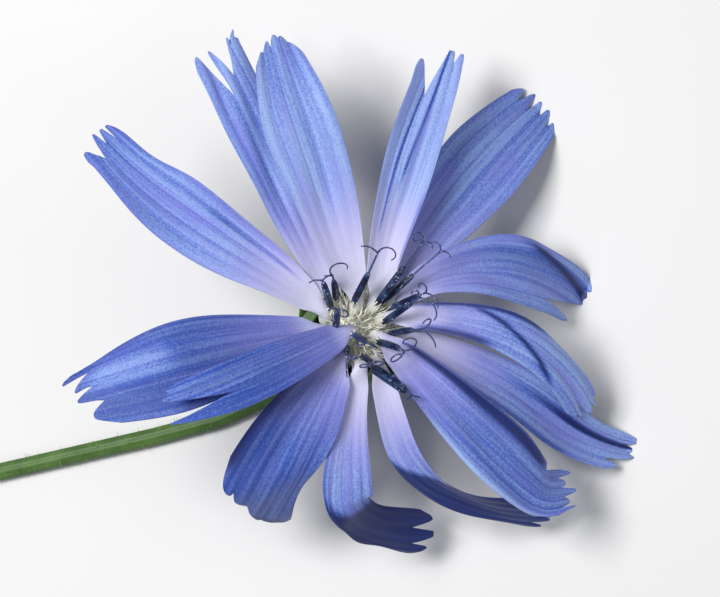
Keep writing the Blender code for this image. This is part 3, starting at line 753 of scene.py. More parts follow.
def petal_material():
    shader = Shader("petal_blue")
    names = ("along", "across", "deep", "under", "own")
    along, across, deep, under, own = (shader.attribute(name) for name in names)

    def streaks(crosswise, lengthwise, shift=0.0, drift=0.0, **more):
        """Noise drawn out along the strap, different on each one."""
        spot = shader.joined(across * crosswise + own * shift, along * lengthwise + own * drift, own)
        return shader.noise(spot, 1.0, **more)

    broad = streaks(2.6, 1.6, 7.3, detail=2.0)
    fine = streaks(15, 2.2, 3.1, detail=4.0, roughness=0.6)
    tint = streaks(1.7, 2.3, 5.7, -1, detail=2.0)
    streak = streaks(8, 0.8, 2.3)
    grain = shader.noise(shader.place(), 7000.0, detail=2.0)
    wander = (streaks(1.5, 3, drift=1) - 0.5) * 0.1
    ribs = math.pi * RIBS / 2
    seam = abs(((across + 1 + wander) * ribs).sine())
    rib_vein = abs(((across + (1 - 1 / RIBS) + wander) * ribs).sine())
    seams = (1 - seam.step(0.0, 0.32)) * streak.step(0.3, 0.6)
    mid_veins = (1 - rib_vein.step(0.0, 0.14)) * streak.step(0.45, 0.7) * 0.6
    veins = (seams + mid_veins).clamp() * along.step(0.05, 0.35)
    # Random lighter and darker streaks of the blue. The fine speckle paints the glints of single cells,
    # and the seam term paints a faint shade along the grooves between the ribs.
    light = broad * 0.3 + streak * 0.45 + fine * 0.25 + (grain - 0.5) * 0.5 + seam * 0.08 - 0.02
    blue = shader.blend(light.step(0.36, 0.66), PETAL_BLUE, PETAL_PALE)
    blue = shader.blend(tint.step(0.42, 0.72) * 0.6, blue, PETAL_VIOLET)
    # Painted glints of single cells, where the broad streaks and the fine grain are both high.
    painted_glints = (streak * 0.5 + broad * 0.5).step(0.5, 0.7) * grain.step(0.4, 0.7) * 0.6
    # Painted silvery highlight where the shading value is below 0, together with the painted glints;
    # painted shade above 0 holds it back.
    painted_highlight = (0 - deep) * (0.4 + broad) + painted_glints
    blue = shader.blend((painted_highlight - deep.clamp() * 0.8).clamp(), blue, PETAL_HIGHLIGHT)
    # Painted highlight along the margins, held back where painted shade lies.
    painted_rim_highlight = abs(across).step(0.95, 1.0) * (1 - deep).clamp() * 0.45
    blue = shader.blend(painted_rim_highlight, blue, PETAL_HIGHLIGHT)
    # Painted shade with a little random wobble: it blends towards the half-shade blue up to 0.5 and on
    # towards the full-shade blue up to 1, and the weave keeps some streaks showing through.
    depth = deep + (broad - 0.5) * 0.3
    weave = (streak * 0.45 + fine * 0.3 + grain * 0.25).step(0.36, 0.64)
    blue = shader.blend((depth * 2).clamp() * (1 - weave * 0.55), blue, PETAL_HALF_SHADE)
    blue = shader.blend(veins * 0.45, blue, PETAL_VEIN)
    blue = shader.blend((depth * 2 - 1).clamp(), blue, PETAL_FULL_SHADE)
    pale = (1 - along.step(0.1, 0.54)) * (0.6 + fine * 0.4 - deep * 0.7)
    lilac = shader.blend(pale.clamp(), blue, PETAL_LILAC)
    bloom = (1 - along.step(0.04, 0.34 - deep * 0.25)) * (0.7 + fine * 0.4 - deep * 0.6).clamp()
    white = shader.blend(bloom, lilac, PETAL_WHITE)
    cream = shader.blend(1 - along.step(-0.03, 0.07), white, TUBE_CREAM)
    # Painted shade on the strap's back, past its pale base.
    colour = shader.blend(under * along.step(0.05, 0.3) * 0.8, cream, PETAL_BACK_SHADE)
    return shader.finish(
        Base_Color=colour,
        Roughness=0.40 + grain * 0.2,
        Normal=shader.bump(fine * 0.5 + grain * 0.8, 0.55, 0.00006),
        Specular_IOR_Level=0.3,
        Sheen_Weight=0.14,
        Sheen_Roughness=0.35,
        Sheen_Tint=(0.75, 0.82, 1.0, 1.0),
        Subsurface_Weight=0.10,
        Subsurface_Radius=(0.3, 0.4, 1.0),
        Subsurface_Scale=0.0005,
    )


petal_blue = petal_material()
for corolla in corollas:
    corolla.data.materials.append(petal_blue)
print("petal material has", len(petal_blue.node_tree.nodes), "nodes")

# %% [markdown]
# ## Tubes with a shape of their own
#
# Filaments, anther tubes, styles and stigma arms are all tubes along a line, with a radius that changes
# on the way. One function makes them. It carries a side direction along the line without twisting, and
# can flute the section, which gives the anther tube its five joined anthers.

# %% Tube helper
ODD_DIRECTION = (0.31, 0.17, 0.93)  # no tube starts out along it


def turns(count):
    """Angles of points spread evenly round a circle."""
    return 2 * math.pi * np.arange(count) / count


def ring_faces(count, sides):
    """Quads between rings of points, and a flat cap on the first and on the last ring."""
    faces = []
    for near in range(0, (count - 1) * sides, sides):
        for k in range(sides):
            after = (k + 1) % sides
            faces.append((near + k, near + after, near + sides + after, near + sides + k))
    last = (count - 1) * sides
    return faces + [tuple(range(sides - 1, -1, -1)), tuple(range(last, last + sides))]


def tube(points, radii, sides, flutes=0, depth=0.0):
    """Points and faces of a closed tube, with optional lengthwise flutes."""
    points = np.asarray(points, float)
    tangents = unit(np.gradient(points, axis=0))
    side = unit(np.cross(tangents[0], ODD_DIRECTION))
    rings = []
    angles = turns(sides)
    section = 1 - depth * (1 - np.abs(np.sin(angles * flutes / 2)))
    for point, tangent, radius in zip(points, tangents, radii):
        side = unit(side - tangent * (side @ tangent))
        over = np.cross(tangent, side)
        ring = side[None] * np.cos(angles)[:, None] + over[None] * np.sin(angles)[:, None]
        rings.append(point + ring * (radius * section)[:, None])
    return np.concatenate(rings), ring_faces(len(points), sides)


class Parts:
    """Several shapes collected into one mesh, with one number per shape for its material."""

    def __init__(self):
        self.points, self.faces, self.numbers, self.count = [], [], [], 0

    def add(self, shape, number):
        points, faces = shape
        self.points.append(points)
        self.faces += [tuple(i + self.count for i in face) for face in faces]
        self.numbers.append(np.full(len(points), float(number)))
        self.count += len(points)

    def piece(self, name, material):
        points = on_surface(np.concatenate(self.points))
        return new_piece(name, points, self.faces, material, {"kind": np.concatenate(self.numbers)})


# %% [markdown]
# ## Anthers, styles and stigmas
#
# Five thin filaments lift the dark anther tube out of the throat. The style grows up through it,
# carries the pollen out on its hairs, then forks into two arms that curl back on themselves, which is
# how the flower can still pollinate itself on its last day. Each floret gets its own lean, length and
# curl.

# %% Anther shapes
ANTHER_LIFT = 1.0
ANTHER_SETBACK = 0.12
ANTHER_RADIUS = 0.27
STYLE_RADIUS = 0.075
ARM_RADIUS = 0.06
FILAMENT_RADIUS = 0.055
FILAMENTS = 5
FILAMENT_SPREAD = 0.2
FILAMENT_BOW = 0.14
FLUTE_DEPTH = 0.24
TUBE_PLACES = (0, 0.06, 0.15, 0.35, 0.6, 0.8, 0.9, 0.96, 1.0)  # along an anther tube
TUBE_SWELL = (0.55, 0.85, 0.95, 1.0, 0.96, 0.9, 0.8, 0.66, 0.42)  # its radius there
STYLE_INSIDE = 0.2  # how much of the style stays inside the anther tube
KIND = {"filament": 0.0, "anther": 0.33, "style": 0.66, "arm": 1.0}
HEART_SEED = 40


def anther(heading, pitch, length, style, shift, arms, bend=-12, girth=1.0):
    """One anther tube: its direction, lengths and bend, and where each of its two arms goes.

    An arm is the heading that it bends towards, the angle at which it leaves the style, how far it curls,
    and its length.
    """
    return {"heading": heading, "pitch": pitch, "length": length, "style": style, "shift": shift,
            "arms": arms, "bend": bend, "girth": girth}


ANTHERS = [
    anther(16, 56, 3.4, 2.6, (-0.75, -0.4), ((112, 40, 120, 1.0), (292, 40, 80, 0.9)), bend=-26),
    anther(110, 70, 2.5, 0.5, (0, 0), ((337, -20, 225, 2.8), (150, 60, 40, 0.6))),
    anther(111, 61, 3.0, 0.2, (0.25, 0.35), ((147, 80, 30, 1.0), (347, 70, 60, 0.9))),
    anther(106, 77, 3.0, 0.2, (0.1, -0.25), ((317, 50, 340, 2.2), (150, 30, 150, 0.9)), bend=-8),
    anther(218, 62, 2.0, 0.6, (0.1, 0.2), ((242, 60, 90, 1.8), (330, 30, 320, 1.8))),
    anther(244, 68, 2.4, 0.4, (-0.1, 0.1), ((187, 30, 340, 2.2), (337, 40, 320, 2.2)), bend=-8),
    anther(284, 44, 3.7, 0.4, (-0.75, -0.6), ((317, 30, 80, 0.9), (177, 30, 160, 0.9)), girth=1.4),
    anther(311, 76, 3.2, 1.0, (-0.75, 0.35), ((284, 40, 75, 1.7), (20, 30, 250, 2.0))),
    anther(350, 68, 3.2, 0.5, (-0.65, 0.15), ((277, 30, 100, 1.6), (97, 30, 230, 1.4))),
    anther(32, 46, 3.6, 2.0, (0, 0), ((112, 0, 360, 2.4), (292, 20, 140, 1.2)), bend=-10),
    anther(50, 68, 3.2, 1.8, (-0.45, 0.3), ((152, 60, 50, 1.4), (317, 10, 215, 2.3)), bend=-18),
    anther(264, 62, 2.2, 0.2, (-0.45, -0.35), ((307, 30, 360, 2.4), (187, 40, 360, 1.8)), bend=-4),
    anther(286, 64, 2.9, 0.5, (-0.4, -0.6), ((10, 50, 330, 3.2), (205, 70, 350, 3.2))),
    anther(5, 68, 3.3, 0.8, (-0.3, -0.4), ((287, 40, 130, 2.4), (107, 40, 210, 1.2))),
]


def anther_path(shape, own):
    """Points along the line from the anther tube's foot to the style's fork."""
    share = np.linspace(0, 1, 61)
    total = own["length"] + own["style"]
    forward = heading_vector(own["heading"] + 0 * share, own["pitch"] + own["bend"] * share)
    run = np.cumsum(forward, axis=0) * total / len(share)
    outward = heading_vector(shape["heading"][0], 0.0)
    foot = throat(shape) + np.array([*own["shift"], ANTHER_LIFT]) - outward * ANTHER_SETBACK
    return share * total, foot + run


def stigma_arm(fork, forward, arm, draw):
    """One arm: it leaves the fork at an angle and curls back, tighter towards its end."""
    heading, start, curl, length = arm
    outward = heading_vector(heading, 0.0)
    outward = unit(outward - forward * (forward @ outward))
    share = np.linspace(0, 1, 30)
    angles = np.radians(start + curl * share**1.35)
    steps = forward * np.cos(angles)[:, None] + outward * np.sin(angles)[:, None]
    swing = np.sin(share * draw.uniform(3, 6)) * draw.uniform(-0.3, 0.3)
    sway = np.cross(forward, outward) * swing[:, None]
    return fork + np.cumsum(unit(steps + sway), axis=0) * length / len(share)


def floret_heart(shape, own, seed):
    """Filaments, anther tube, style and arms of one floret."""
    draw = np.random.default_rng(seed)
    lengths, path = anther_path(shape, own)
    parts = Parts()
    foot, start = throat(shape), path[0]
    level = side_vector(np.array(float(own["heading"])))
    first = unit(path[2] - path[0])
    across = np.cross(first, level)
    share = np.linspace(0, 1, 9)[:, None]
    bow = np.sin(share * math.pi) * FILAMENT_BOW
    reach = (start + first * 0.3 - foot) * share
    for angle in turns(FILAMENTS):
        offset = level * math.cos(angle) + across * math.sin(angle)
        line = foot + offset * FILAMENT_SPREAD + reach + offset * (bow + 0.01 * share)
        parts.add(tube(line, np.full(len(line), FILAMENT_RADIUS), 6), KIND["filament"])
    places = np.array(TUBE_PLACES) * own["length"]
    swell = np.array(TUBE_SWELL) * ANTHER_RADIUS * own["girth"]
    joined = tube(along_line(path, lengths, places), swell, 30, flutes=5, depth=FLUTE_DEPTH)
    parts.add(joined, KIND["anther"])
    places = own["length"] - STYLE_INSIDE + np.linspace(0, 1, 12) * (own["style"] + STYLE_INSIDE)
    parts.add(tube(along_line(path, lengths, places), np.full(12, STYLE_RADIUS), 10), KIND["style"])
    forward = unit(path[-1] - path[-3])
    for arm in own["arms"]:
        curl = stigma_arm(path[-1], forward, arm, draw)
        thickness = np.linspace(1.15, 0.75, len(curl)) * ARM_RADIUS
        parts.add(tube(curl, thickness, 8), KIND["arm"])
    return parts


# %% Anther material
ANTHER_NAVY = (0.0025, 0.007, 0.040)
ANTHER_RIDGE = (0.030, 0.075, 0.20)
ANTHER_FLECK = (0.30, 0.38, 0.62)
FILAMENT_CREAM = (0.80, 0.79, 0.64)
STYLE_BLUE = (0.030, 0.050, 0.17)
ARM_BLUE = (0.022, 0.032, 0.13)


def heart_material():
    shader = Shader("anther_navy")
    kind = shader.attribute("kind")
    place = shader.place()
    grain = shader.noise(place, 6000.0, detail=3.0)
    patch = shader.noise(place, 1500.0, detail=2.0)
    navy = shader.blend(patch.step(0.42, 0.75) * 0.8, ANTHER_NAVY, ANTHER_RIDGE)
    navy = shader.blend(grain.step(0.62, 0.74) * patch.step(0.35, 0.6), navy, ANTHER_FLECK)
    colour = shader.blend(kind.step(0.1, 0.25), FILAMENT_CREAM, navy)
    colour = shader.blend(kind.step(0.45, 0.55), colour, STYLE_BLUE)
    colour = shader.blend(kind.step(0.75, 0.9), colour, ARM_BLUE)
    colour = shader.blend(grain.step(0.55, 0.8) * kind.step(0.45, 0.55) * 0.5, colour, ANTHER_FLECK)
    return shader.finish(
        Base_Color=colour,
        Roughness=0.26 + grain * 0.2,
        Normal=shader.bump(grain, 0.5, 0.00005),
    )


anther_navy = heart_material()
hearts = []
for number, (shape, own) in enumerate(zip(FLORETS, ANTHERS), start=1):
    heart = floret_heart(shape, own, HEART_SEED + number)
    hearts.append(heart.piece(f"anther_tube_{number:02d}", anther_navy))
print(len(hearts), "anther tubes with their styles")

# %% [markdown]
# ## A small kit for Geometry Nodes
#
# What repeats on the flower is left to Geometry Nodes: pollen on the styles, hairs between the tubes
# and on the green parts, the bracts round the cup and the ribbed stem. `Recipe` builds such a tree,
# with named inputs for its sizes.

# %% Geometry Nodes helpers
class Recipe:
    """A Geometry Nodes tree in the making."""

    def __init__(self, name):
        self.tree = bpy.data.node_groups.new(name, "GeometryNodeTree")
        self.tree.interface.new_socket("Geometry", in_out="INPUT", socket_type="NodeSocketGeometry")
        self.tree.interface.new_socket("Geometry", in_out="OUTPUT", socket_type="NodeSocketGeometry")
        self.entry = self.tree.nodes.new("NodeGroupInput")

    def size(self, name, value, kind="NodeSocketFloat"):
        """A named input, with the value that it starts at."""
        item = self.tree.interface.new_socket(name, in_out="INPUT", socket_type=kind)
        item.default_value = value
        return self.entry.outputs[name]

    def node(self, kind, settings=None, places=None, **values):
        """The outputs of a new node in this tree."""
        return new_node(self.tree, kind, settings, places, **values)

    def random(self, low, high, seed):
        """A random number per point."""
        kind = {"data_type": "FLOAT"}
        return self.node("FunctionNodeRandomValue", kind, {2: low, 3: high}, Seed=seed)[1]

    def tilt(self, most, seed):
        """A random tilt per point, as angles about X and Y."""
        kind = {"data_type": "FLOAT_VECTOR"}
        ends = {0: (-most, -most, 0.0), 1: (most, most, 0.0)}
        return self.node("FunctionNodeRandomValue", kind, ends, Seed=seed)[0]

    def math(self, operation, *values):
        """The Math node's answer for these values."""
        return self.node("ShaderNodeMath", {"operation": operation}, dict(enumerate(values)))[0]

    def above(self, value, limit):
        """Where a number is greater than a limit."""
        kind = {"data_type": "FLOAT", "operation": "GREATER_THAN"}
        return self.node("FunctionNodeCompare", kind, {0: value, 1: limit})[0]

    def facing(self):
        """The direction in which each face looks, as its parts along X, Y and Z."""
        normal = self.node("GeometryNodeInputNormal")
        return self.node("ShaderNodeSeparateXYZ", Vector=normal[0])

    def scatter(self, chosen, density, seed):
        """Points strewn over the chosen faces of the incoming mesh."""
        return self.node("GeometryNodeDistributePointsOnFaces", Mesh=self.entry.outputs[0],
                         Selection=chosen, Density=density, Seed=seed)

    def plant(self, spots, shape, **values):
        """A copy of a shape on every point."""
        return self.node("GeometryNodeInstanceOnPoints", Points=spots, Instance=shape, **values)[0]

    def end(self, geometry, material):
        """Close the tree: instances made real, then the material."""
        real = self.node("GeometryNodeRealizeInstances", Geometry=geometry)
        dressed = self.node("GeometryNodeSetMaterial", Geometry=real[0], Material=material)
        leave = self.tree.nodes.new("NodeGroupOutput")
        self.tree.links.new(dressed[0], leave.inputs[0])
        return self.tree


def grown(base, tree, name, sizes=None):
    """Plain mesh object with what the tree grows on a base."""
    modifier = base.modifiers.new("grow", "NODES")
    modifier.node_group = tree
    for item in tree.interface.items_tree:
        if item.in_out == "INPUT" and item.name in (sizes or {}):
            modifier[item.identifier] = sizes[item.name]
    bpy.context.view_layer.update()
    graph = bpy.context.evaluated_depsgraph_get()
    mesh = bpy.data.meshes.new_from_object(base.evaluated_get(graph), depsgraph=graph)
    base.modifiers.remove(modifier)
    mesh.shade_smooth()
    return placed(name, mesh)


# %% [markdown]
# ## Pollen
#
# The style sweeps whitish pollen out of the anther tube, and grains stick to all of it. A tree scatters
# points over the tube and the style, picked out by the same number that colours them, and sets a small
# low-sided ball on each.

# %% Pollen grains
POLLEN_RADIUS = 0.042
POLLEN_WHITE = (0.62, 0.66, 0.80)
POLLEN_BLUE = (0.36, 0.42, 0.66)
POLLEN_BEARING = 0.2  # a part with a higher `kind` than this carries pollen
LEAST_POLLEN = 1.6e6  # grains per square metre
MORE_POLLEN = {1: 5.5e6, 9: 3.0e6, 10: 5.5e6, 11: 3.0e6, 14: 3.0e6}  # the same, by floret


def pollen_material():
    shader = Shader("pollen_white")
    shade = shader.noise(shader.place(), 9000.0)
    colour = shader.blend(shade, POLLEN_BLUE, POLLEN_WHITE)
    return shader.finish(Base_Color=colour, Roughness=0.55 + shade * 0.2)


def pollen_tree():
    """Small balls scattered over what bears pollen."""
    recipe = Recipe("scatter_pollen")
    density = recipe.size("Density", LEAST_POLLEN)
    size = recipe.size("Radius", POLLEN_RADIUS * MM)
    seed = recipe.size("Seed", 1, "NodeSocketInt")
    kind = recipe.node("GeometryNodeInputNamedAttribute", {"data_type": "FLOAT"}, Name="kind")
    spots = recipe.scatter(recipe.above(kind[0], POLLEN_BEARING), density, seed)
    ball = recipe.node("GeometryNodeMeshIcoSphere", Radius=size, Subdivisions=1)
    grains = recipe.plant(spots[0], ball[0], Scale=recipe.random(0.6, 1.3, 5))
    return recipe.end(grains, pollen_white)


pollen_white = pollen_material()
pollen_recipe = pollen_tree()
pollen = []
for number, heart in enumerate(hearts, start=1):
    sizes = {"Density": MORE_POLLEN.get(number, LEAST_POLLEN), "Seed": number}
    pollen.append(grown(heart, pollen_recipe, f"pollen_{number:02d}", sizes))
print("pollen:", sum(len(piece.data.polygons) for piece in pollen), "faces")

# %% [markdown]
# ## The stem
#
# A flower stalk isn't a plain pipe: it is ribbed, swells under the head, and carries short stiff hairs.
# A tree sweeps a ribbed outline along the stalk's curve. The curve's own radius does the swelling.

# %% Stem path
STEM_TOP_RADIUS = 1.0
STEM_RADIUS = 0.66
STEM_COURSE = ((-9.6, -0.3), (-14.6, -0.1), (-19.5, 0.9), (-24.5, 2.1), (-29.5, 3.3), (-34.4, 4.5))
STEM_ROOT = 0.8
STEM_NECK = 0.3
STEM_RIBS = 9
STEM_RIB_DEPTH = 0.07
STEM_STEP = 0.4


def stem_points():
    """Middle line of the stem with its radii, from inside the cup to the cut end."""
    top = on_surface(np.array([0, 0, -HEAD_LENGTH - STEM_NECK]))
    lean = math.radians(HEAD_LEAN)
    bend = (top[2] - STEM_RADIUS) / (1 - math.sin(lean))
    points = [on_surface(np.array([0, 0, -HEAD_LENGTH + STEM_ROOT]))]
    radii = [STEM_TOP_RADIUS]
    for share in np.linspace(0, 1, 6):
        turned = lean + (math.pi / 2 - lean) * share
        run = bend * (math.cos(lean) - math.cos(turned))
        drop = bend * (math.sin(turned) - math.sin(lean))
        points.append(np.array([top[0] - run, top[1], top[2] - drop]))
        radii.append(STEM_TOP_RADIUS + (STEM_RADIUS - STEM_TOP_RADIUS) * rise(share))
    for x, y in np.array(STEM_COURSE) + DISC_PLACE[:2]:
        points.append(np.array([x, y, STEM_RADIUS]))
        radii.append(STEM_RADIUS)
    return np.array(points), np.array(radii)


def poly_curve(name, points, radii=None, closed=False):
    """A curve object of one straight-sided line."""
    data = bpy.data.curves.new(name, "CURVE")
    data.dimensions = "3D"
    line = data.splines.new("POLY")
    line.points.add(len(points) - 1)
    for k, (knot, point) in enumerate(zip(line.points, points)):
        knot.co = (*point, 1.0)
        knot.radius = 1.0 if radii is None else radii[k]
    line.use_cyclic_u = closed
    return placed(name, data)


def ribbed_outline():
    """A unit circle with ribs."""
    angles = turns(STEM_RIBS * 8)
    radii = 1 - STEM_RIB_DEPTH * (1 - np.abs(np.sin(angles * STEM_RIBS / 2)) ** 0.6)
    ring = np.stack([radii * np.cos(angles), radii * np.sin(angles), 0 * angles], 1)
    return poly_curve("stem_outline", ring, closed=True)


# %% Green material
GREEN_STEM = (0.040, 0.105, 0.016)
GREEN_RIB = (0.090, 0.185, 0.035)
GREEN_TIP = (0.10, 0.09, 0.04)


def green_material(name, low, high, scale):
    """Plant green mottled with a paler green, with fine brownish flecks and a waxy surface."""
    shader = Shader(name)
    place = shader.place()
    mottle = shader.noise(place, scale, detail=5.0, roughness=0.6)
    fine = shader.noise(place, scale * 9, detail=2.0)
    colour = shader.blend(mottle.step(0.35, 0.7), low, high)
    colour = shader.blend(fine.step(0.6, 0.8) * 0.3, colour, GREEN_TIP)
    return shader.finish(
        Base_Color=colour,
        Roughness=0.45 + mottle * 0.2,
        Normal=shader.bump(fine, 0.35, 0.00008),
        Subsurface_Weight=0.1,
        Subsurface_Radius=(0.3, 0.8, 0.2),
        Subsurface_Scale=0.0005,
    )


stem_green = green_material("stem_green", GREEN_STEM, GREEN_RIB, 380.0)


def stem_tree(outline):
    """Sweep of an outline along the incoming curve, at even steps."""
    recipe = Recipe("sweep_stem")
    step = recipe.size("Step", STEM_STEP * MM)
    even = recipe.node("GeometryNodeResampleCurve", {"mode": "LENGTH"}, Curve=recipe.entry.outputs[0],
                       Length=step)
    profile = recipe.node("GeometryNodeObjectInfo", Object=outline)
    radius = recipe.node("GeometryNodeInputRadius")
    swept = recipe.node("GeometryNodeCurveToMesh", Curve=even[0], Profile_Curve=profile["Geometry"],
                        Scale=radius[0], Fill_Caps=True)
    return recipe.end(swept[0], stem_green)


course, thickness = stem_points()
line = poly_curve("stem_line", course * MM, thickness * MM)
outline = ribbed_outline()
stem = grown(line, stem_tree(outline), "stem")
bpy.data.objects.remove(line)
bpy.data.objects.remove(outline)
print("stem:", len(stem.data.polygons), "faces")

# %% [markdown]
# ## The green cup
#
# Eight narrow bracts stand shoulder to shoulder round the florets and five short ones spread below
# them. One bract is modelled for each kind; a tree copies it round the head. Behind them a plain liner,
# turned like a bowl, is the flesh that they grow from. All of it is made upright in the head's frame
# and leaned over at the end.

# %% Bracts
CUP_FLOOR = -8.9
CUP_BORE = 2.65
CUP_FOOT_RADIUS = 1.15
BRACT_GREEN = (0.045, 0.115, 0.02)
BRACT_RIB = (0.11, 0.22, 0.05)
BRACT_COLUMNS = 9
KEEL_HEIGHT = 0.12
INNER_BRACTS = 8
INNER_BRACT_FOOT = -10.9
INNER_BRACT_LENGTH = 10.2
INNER_BRACT_WIDTH = 2.75
OUTER_BRACTS = 5
OUTER_BRACT_OUT = 1.35
OUTER_BRACT_START = 0.35  # how far round the first one stands, as a share of a step
OUTER_BRACT_LENGTH = 5.2
OUTER_BRACT_WIDTH = 2.0


def bract(outs, heights, widths, thickness, wrap):
    """A pointed, keeled blade that stands at angle 0: its points and faces in the head's frame."""
    columns = np.linspace(-1, 1, BRACT_COLUMNS)
    rows = []
    for out, height, width in zip(outs, heights, widths):
        bend = columns * width / 2
        curve = wrap * bend**2
        keel = KEEL_HEIGHT * np.exp(-((columns / 0.25) ** 2))
        rows.append(np.stack([out - curve + keel, bend, 0 * bend + height], axis=-1))
    face = np.array(rows)
    back = face - np.array([thickness, 0, 0]) * (1 - 0.8 * columns[None, :, None] ** 2)
    points = np.concatenate([face.reshape(-1, 3), back.reshape(-1, 3)])
    faces = [tuple(reversed(f)) for f in grid_faces(len(rows), BRACT_COLUMNS)]
    return points, faces


def radial_tree(name, material, count, start):
    """Copies of the incoming shape round the vertical axis, even but for a small random turn each."""
    recipe = Recipe(name)
    number = recipe.size("Count", count, "NodeSocketInt")
    spots = recipe.node("GeometryNodeMeshLine", {"mode": "OFFSET"}, Count=number, Offset=(0.0, 0.0, 0.0))
    index = recipe.node("GeometryNodeInputIndex")
    share = recipe.math("DIVIDE", index[0], number)
    angle = recipe.math("MULTIPLY_ADD", share, 2 * math.pi, start)
    turned = recipe.math("ADD", angle, recipe.random(-0.05, 0.05, 7))
    turn = recipe.node("ShaderNodeCombineXYZ", Z=turned)
    copies = recipe.plant(spots[0], recipe.entry.outputs[0], Rotation=turn[0])
    return recipe.end(copies, material)


def leaned(piece):
    """Move a finished mesh from the head's frame to its place on the surface."""
    mesh = piece.data
    flat = np.empty(len(mesh.vertices) * 3)
    mesh.vertices.foreach_get("co", flat)
    moved = on_surface(flat.reshape(-1, 3) / MM) * MM
    mesh.vertices.foreach_set("co", moved.ravel())
    mesh.update()
    return piece


def new_bracts(name, blade, count, start):
    """A ring of bracts round the head."""
    base = new_piece("one_bract", *blade)
    ring = leaned(grown(base, radial_tree(name, bract_green, count, start), name))
    bpy.data.objects.remove(base)
    return ring


bract_green = green_material("bract_green", BRACT_GREEN, BRACT_RIB, 620.0)
share = np.linspace(0, 1, 24)
out = np.interp(share, [0, 0.11, 0.28, 0.55, 0.8, 1], [1.25, 2.5, 3.25, 3.45, 3.3, 3.15])
height = INNER_BRACT_FOOT + INNER_BRACT_LENGTH * share
taper = np.interp(share, [0, 0.15, 0.4, 0.75, 0.95, 1], [0.35, 0.8, 1.0, 0.85, 0.35, 0.06])
inner_blade = bract(out, height, INNER_BRACT_WIDTH * taper, thickness=0.35, wrap=0.14)
inner_bracts = new_bracts("inner_bracts", inner_blade, INNER_BRACTS, 0.0)
pitch = np.radians(35 + 45 * share - 30 * share**2)
out = OUTER_BRACT_OUT + np.cumsum(np.cos(pitch)) * OUTER_BRACT_LENGTH / len(share)
height = -HEAD_LENGTH + 1.0 + np.cumsum(np.sin(pitch)) * OUTER_BRACT_LENGTH / len(share)
taper = np.interp(share, [0, 0.2, 0.45, 0.8, 1], [0.7, 0.95, 1.0, 0.5, 0.06])
outer_blade = bract(out, height, OUTER_BRACT_WIDTH * taper, thickness=0.3, wrap=0.12)
start = 2 * math.pi * OUTER_BRACT_START / OUTER_BRACTS
outer_bracts = new_bracts("outer_bracts", outer_blade, OUTER_BRACTS, start)
print("bracts:", len(inner_bracts.data.polygons), "and", len(outer_bracts.data.polygons), "faces")


# %% Cup liner
def revolved(profile, sides):
    """Points and faces of an outline turned round the vertical axis, with a flat cap at both ends."""
    angles = turns(sides)
    points = [np.stack([r * np.cos(angles), r * np.sin(angles), 0 * angles + z], 1) for r, z in profile]
    return np.concatenate(points), ring_faces(len(profile), sides)


liner_profile = [
    (CUP_FOOT_RADIUS, -HEAD_LENGTH), (2.2, -HEAD_LENGTH + 1.0), (2.95, -HEAD_LENGTH + 2.6),
    (3.1, -6), (3.0, -3.6), (2.9, -3.0), (2.7, -3.1),
    (CUP_BORE, -4), (CUP_BORE, CUP_FLOOR + 0.2), (1.3, CUP_FLOOR),
]
cup = leaned(new_piece("cup_liner", *revolved(liner_profile, 64), bract_green))

# %% [markdown]
# ## Hairs on the green parts
#
# The stalk and the bracts carry short stiff hairs, some tipped with a gland. A tree sets a thin cone on
# each point that it scatters, standing along the surface's normal with a small tilt.

# %% Green hairs
HAIR_LENGTH = 0.38
HAIR_RADIUS = 0.022
HAIR_TIP = 0.005
BRACT_HAIR_LENGTH = 0.3
STEM_HAIRS = 2.2e6  # per square metre of skin
BRACT_HAIRS = 1.2e6
STEM_HAIRS_FACE = -0.25  # skin that looks further down than this lies on the surface and has none
HAIR_DARK = (0.20, 0.30, 0.09)
HAIR_PALE = (0.42, 0.50, 0.26)
CUT_FACING = -0.95  # the stem's cut end looks along -X and bears no hairs


def hair_tree():
    """Short cones that stand out of the incoming surface."""
    recipe = Recipe("grow_hairs")
    length = recipe.size("Length", HAIR_LENGTH * MM)
    density = recipe.size("Density", STEM_HAIRS)
    lowest = recipe.size("Lowest", -1.0)
    facing = recipe.facing()
    sides = {0: recipe.above(facing["Z"], lowest), 1: recipe.above(facing["X"], CUT_FACING)}
    planted = recipe.node("FunctionNodeBooleanMath", {"operation": "AND"}, sides)
    spots = recipe.scatter(planted[0], density, 11)
    spike = recipe.node("GeometryNodeMeshCone", Vertices=5, Radius_Top=HAIR_TIP * MM,
                        Radius_Bottom=HAIR_RADIUS * MM, Depth=length)
    turn = recipe.node("FunctionNodeRotateEuler", {"space": "LOCAL"}, Rotation=spots["Rotation"],
                       Rotate_By=recipe.tilt(0.35, 12))
    hairs = recipe.plant(spots[0], spike[0], Rotation=turn[0], Scale=recipe.random(0.5, 1.3, 13))
    return recipe.end(hairs, hair_green)


hair_green = green_material("hair_green", HAIR_DARK, HAIR_PALE, 900.0)
hair_recipe = hair_tree()
stem_hairs = grown(stem, hair_recipe, "stem_hairs", {"Lowest": STEM_HAIRS_FACE})
sizes = {"Density": BRACT_HAIRS, "Length": BRACT_HAIR_LENGTH * MM}
bract_hairs = grown(inner_bracts, hair_recipe, "bract_hairs", sizes)
print("hairs:", len(stem_hairs.data.polygons) + len(bract_hairs.data.polygons), "faces")

# %% [markdown]
# ## What shows between the tubes
#
# Each floret stands on an ovary with a crown of short pale scales, and there the filaments and hairs of
# the tubes crowd together, so the middle of the head is a cream-coloured tuft. A low dome carries it,
# and a tree plants thin spikes on the dome, leaning outwards.

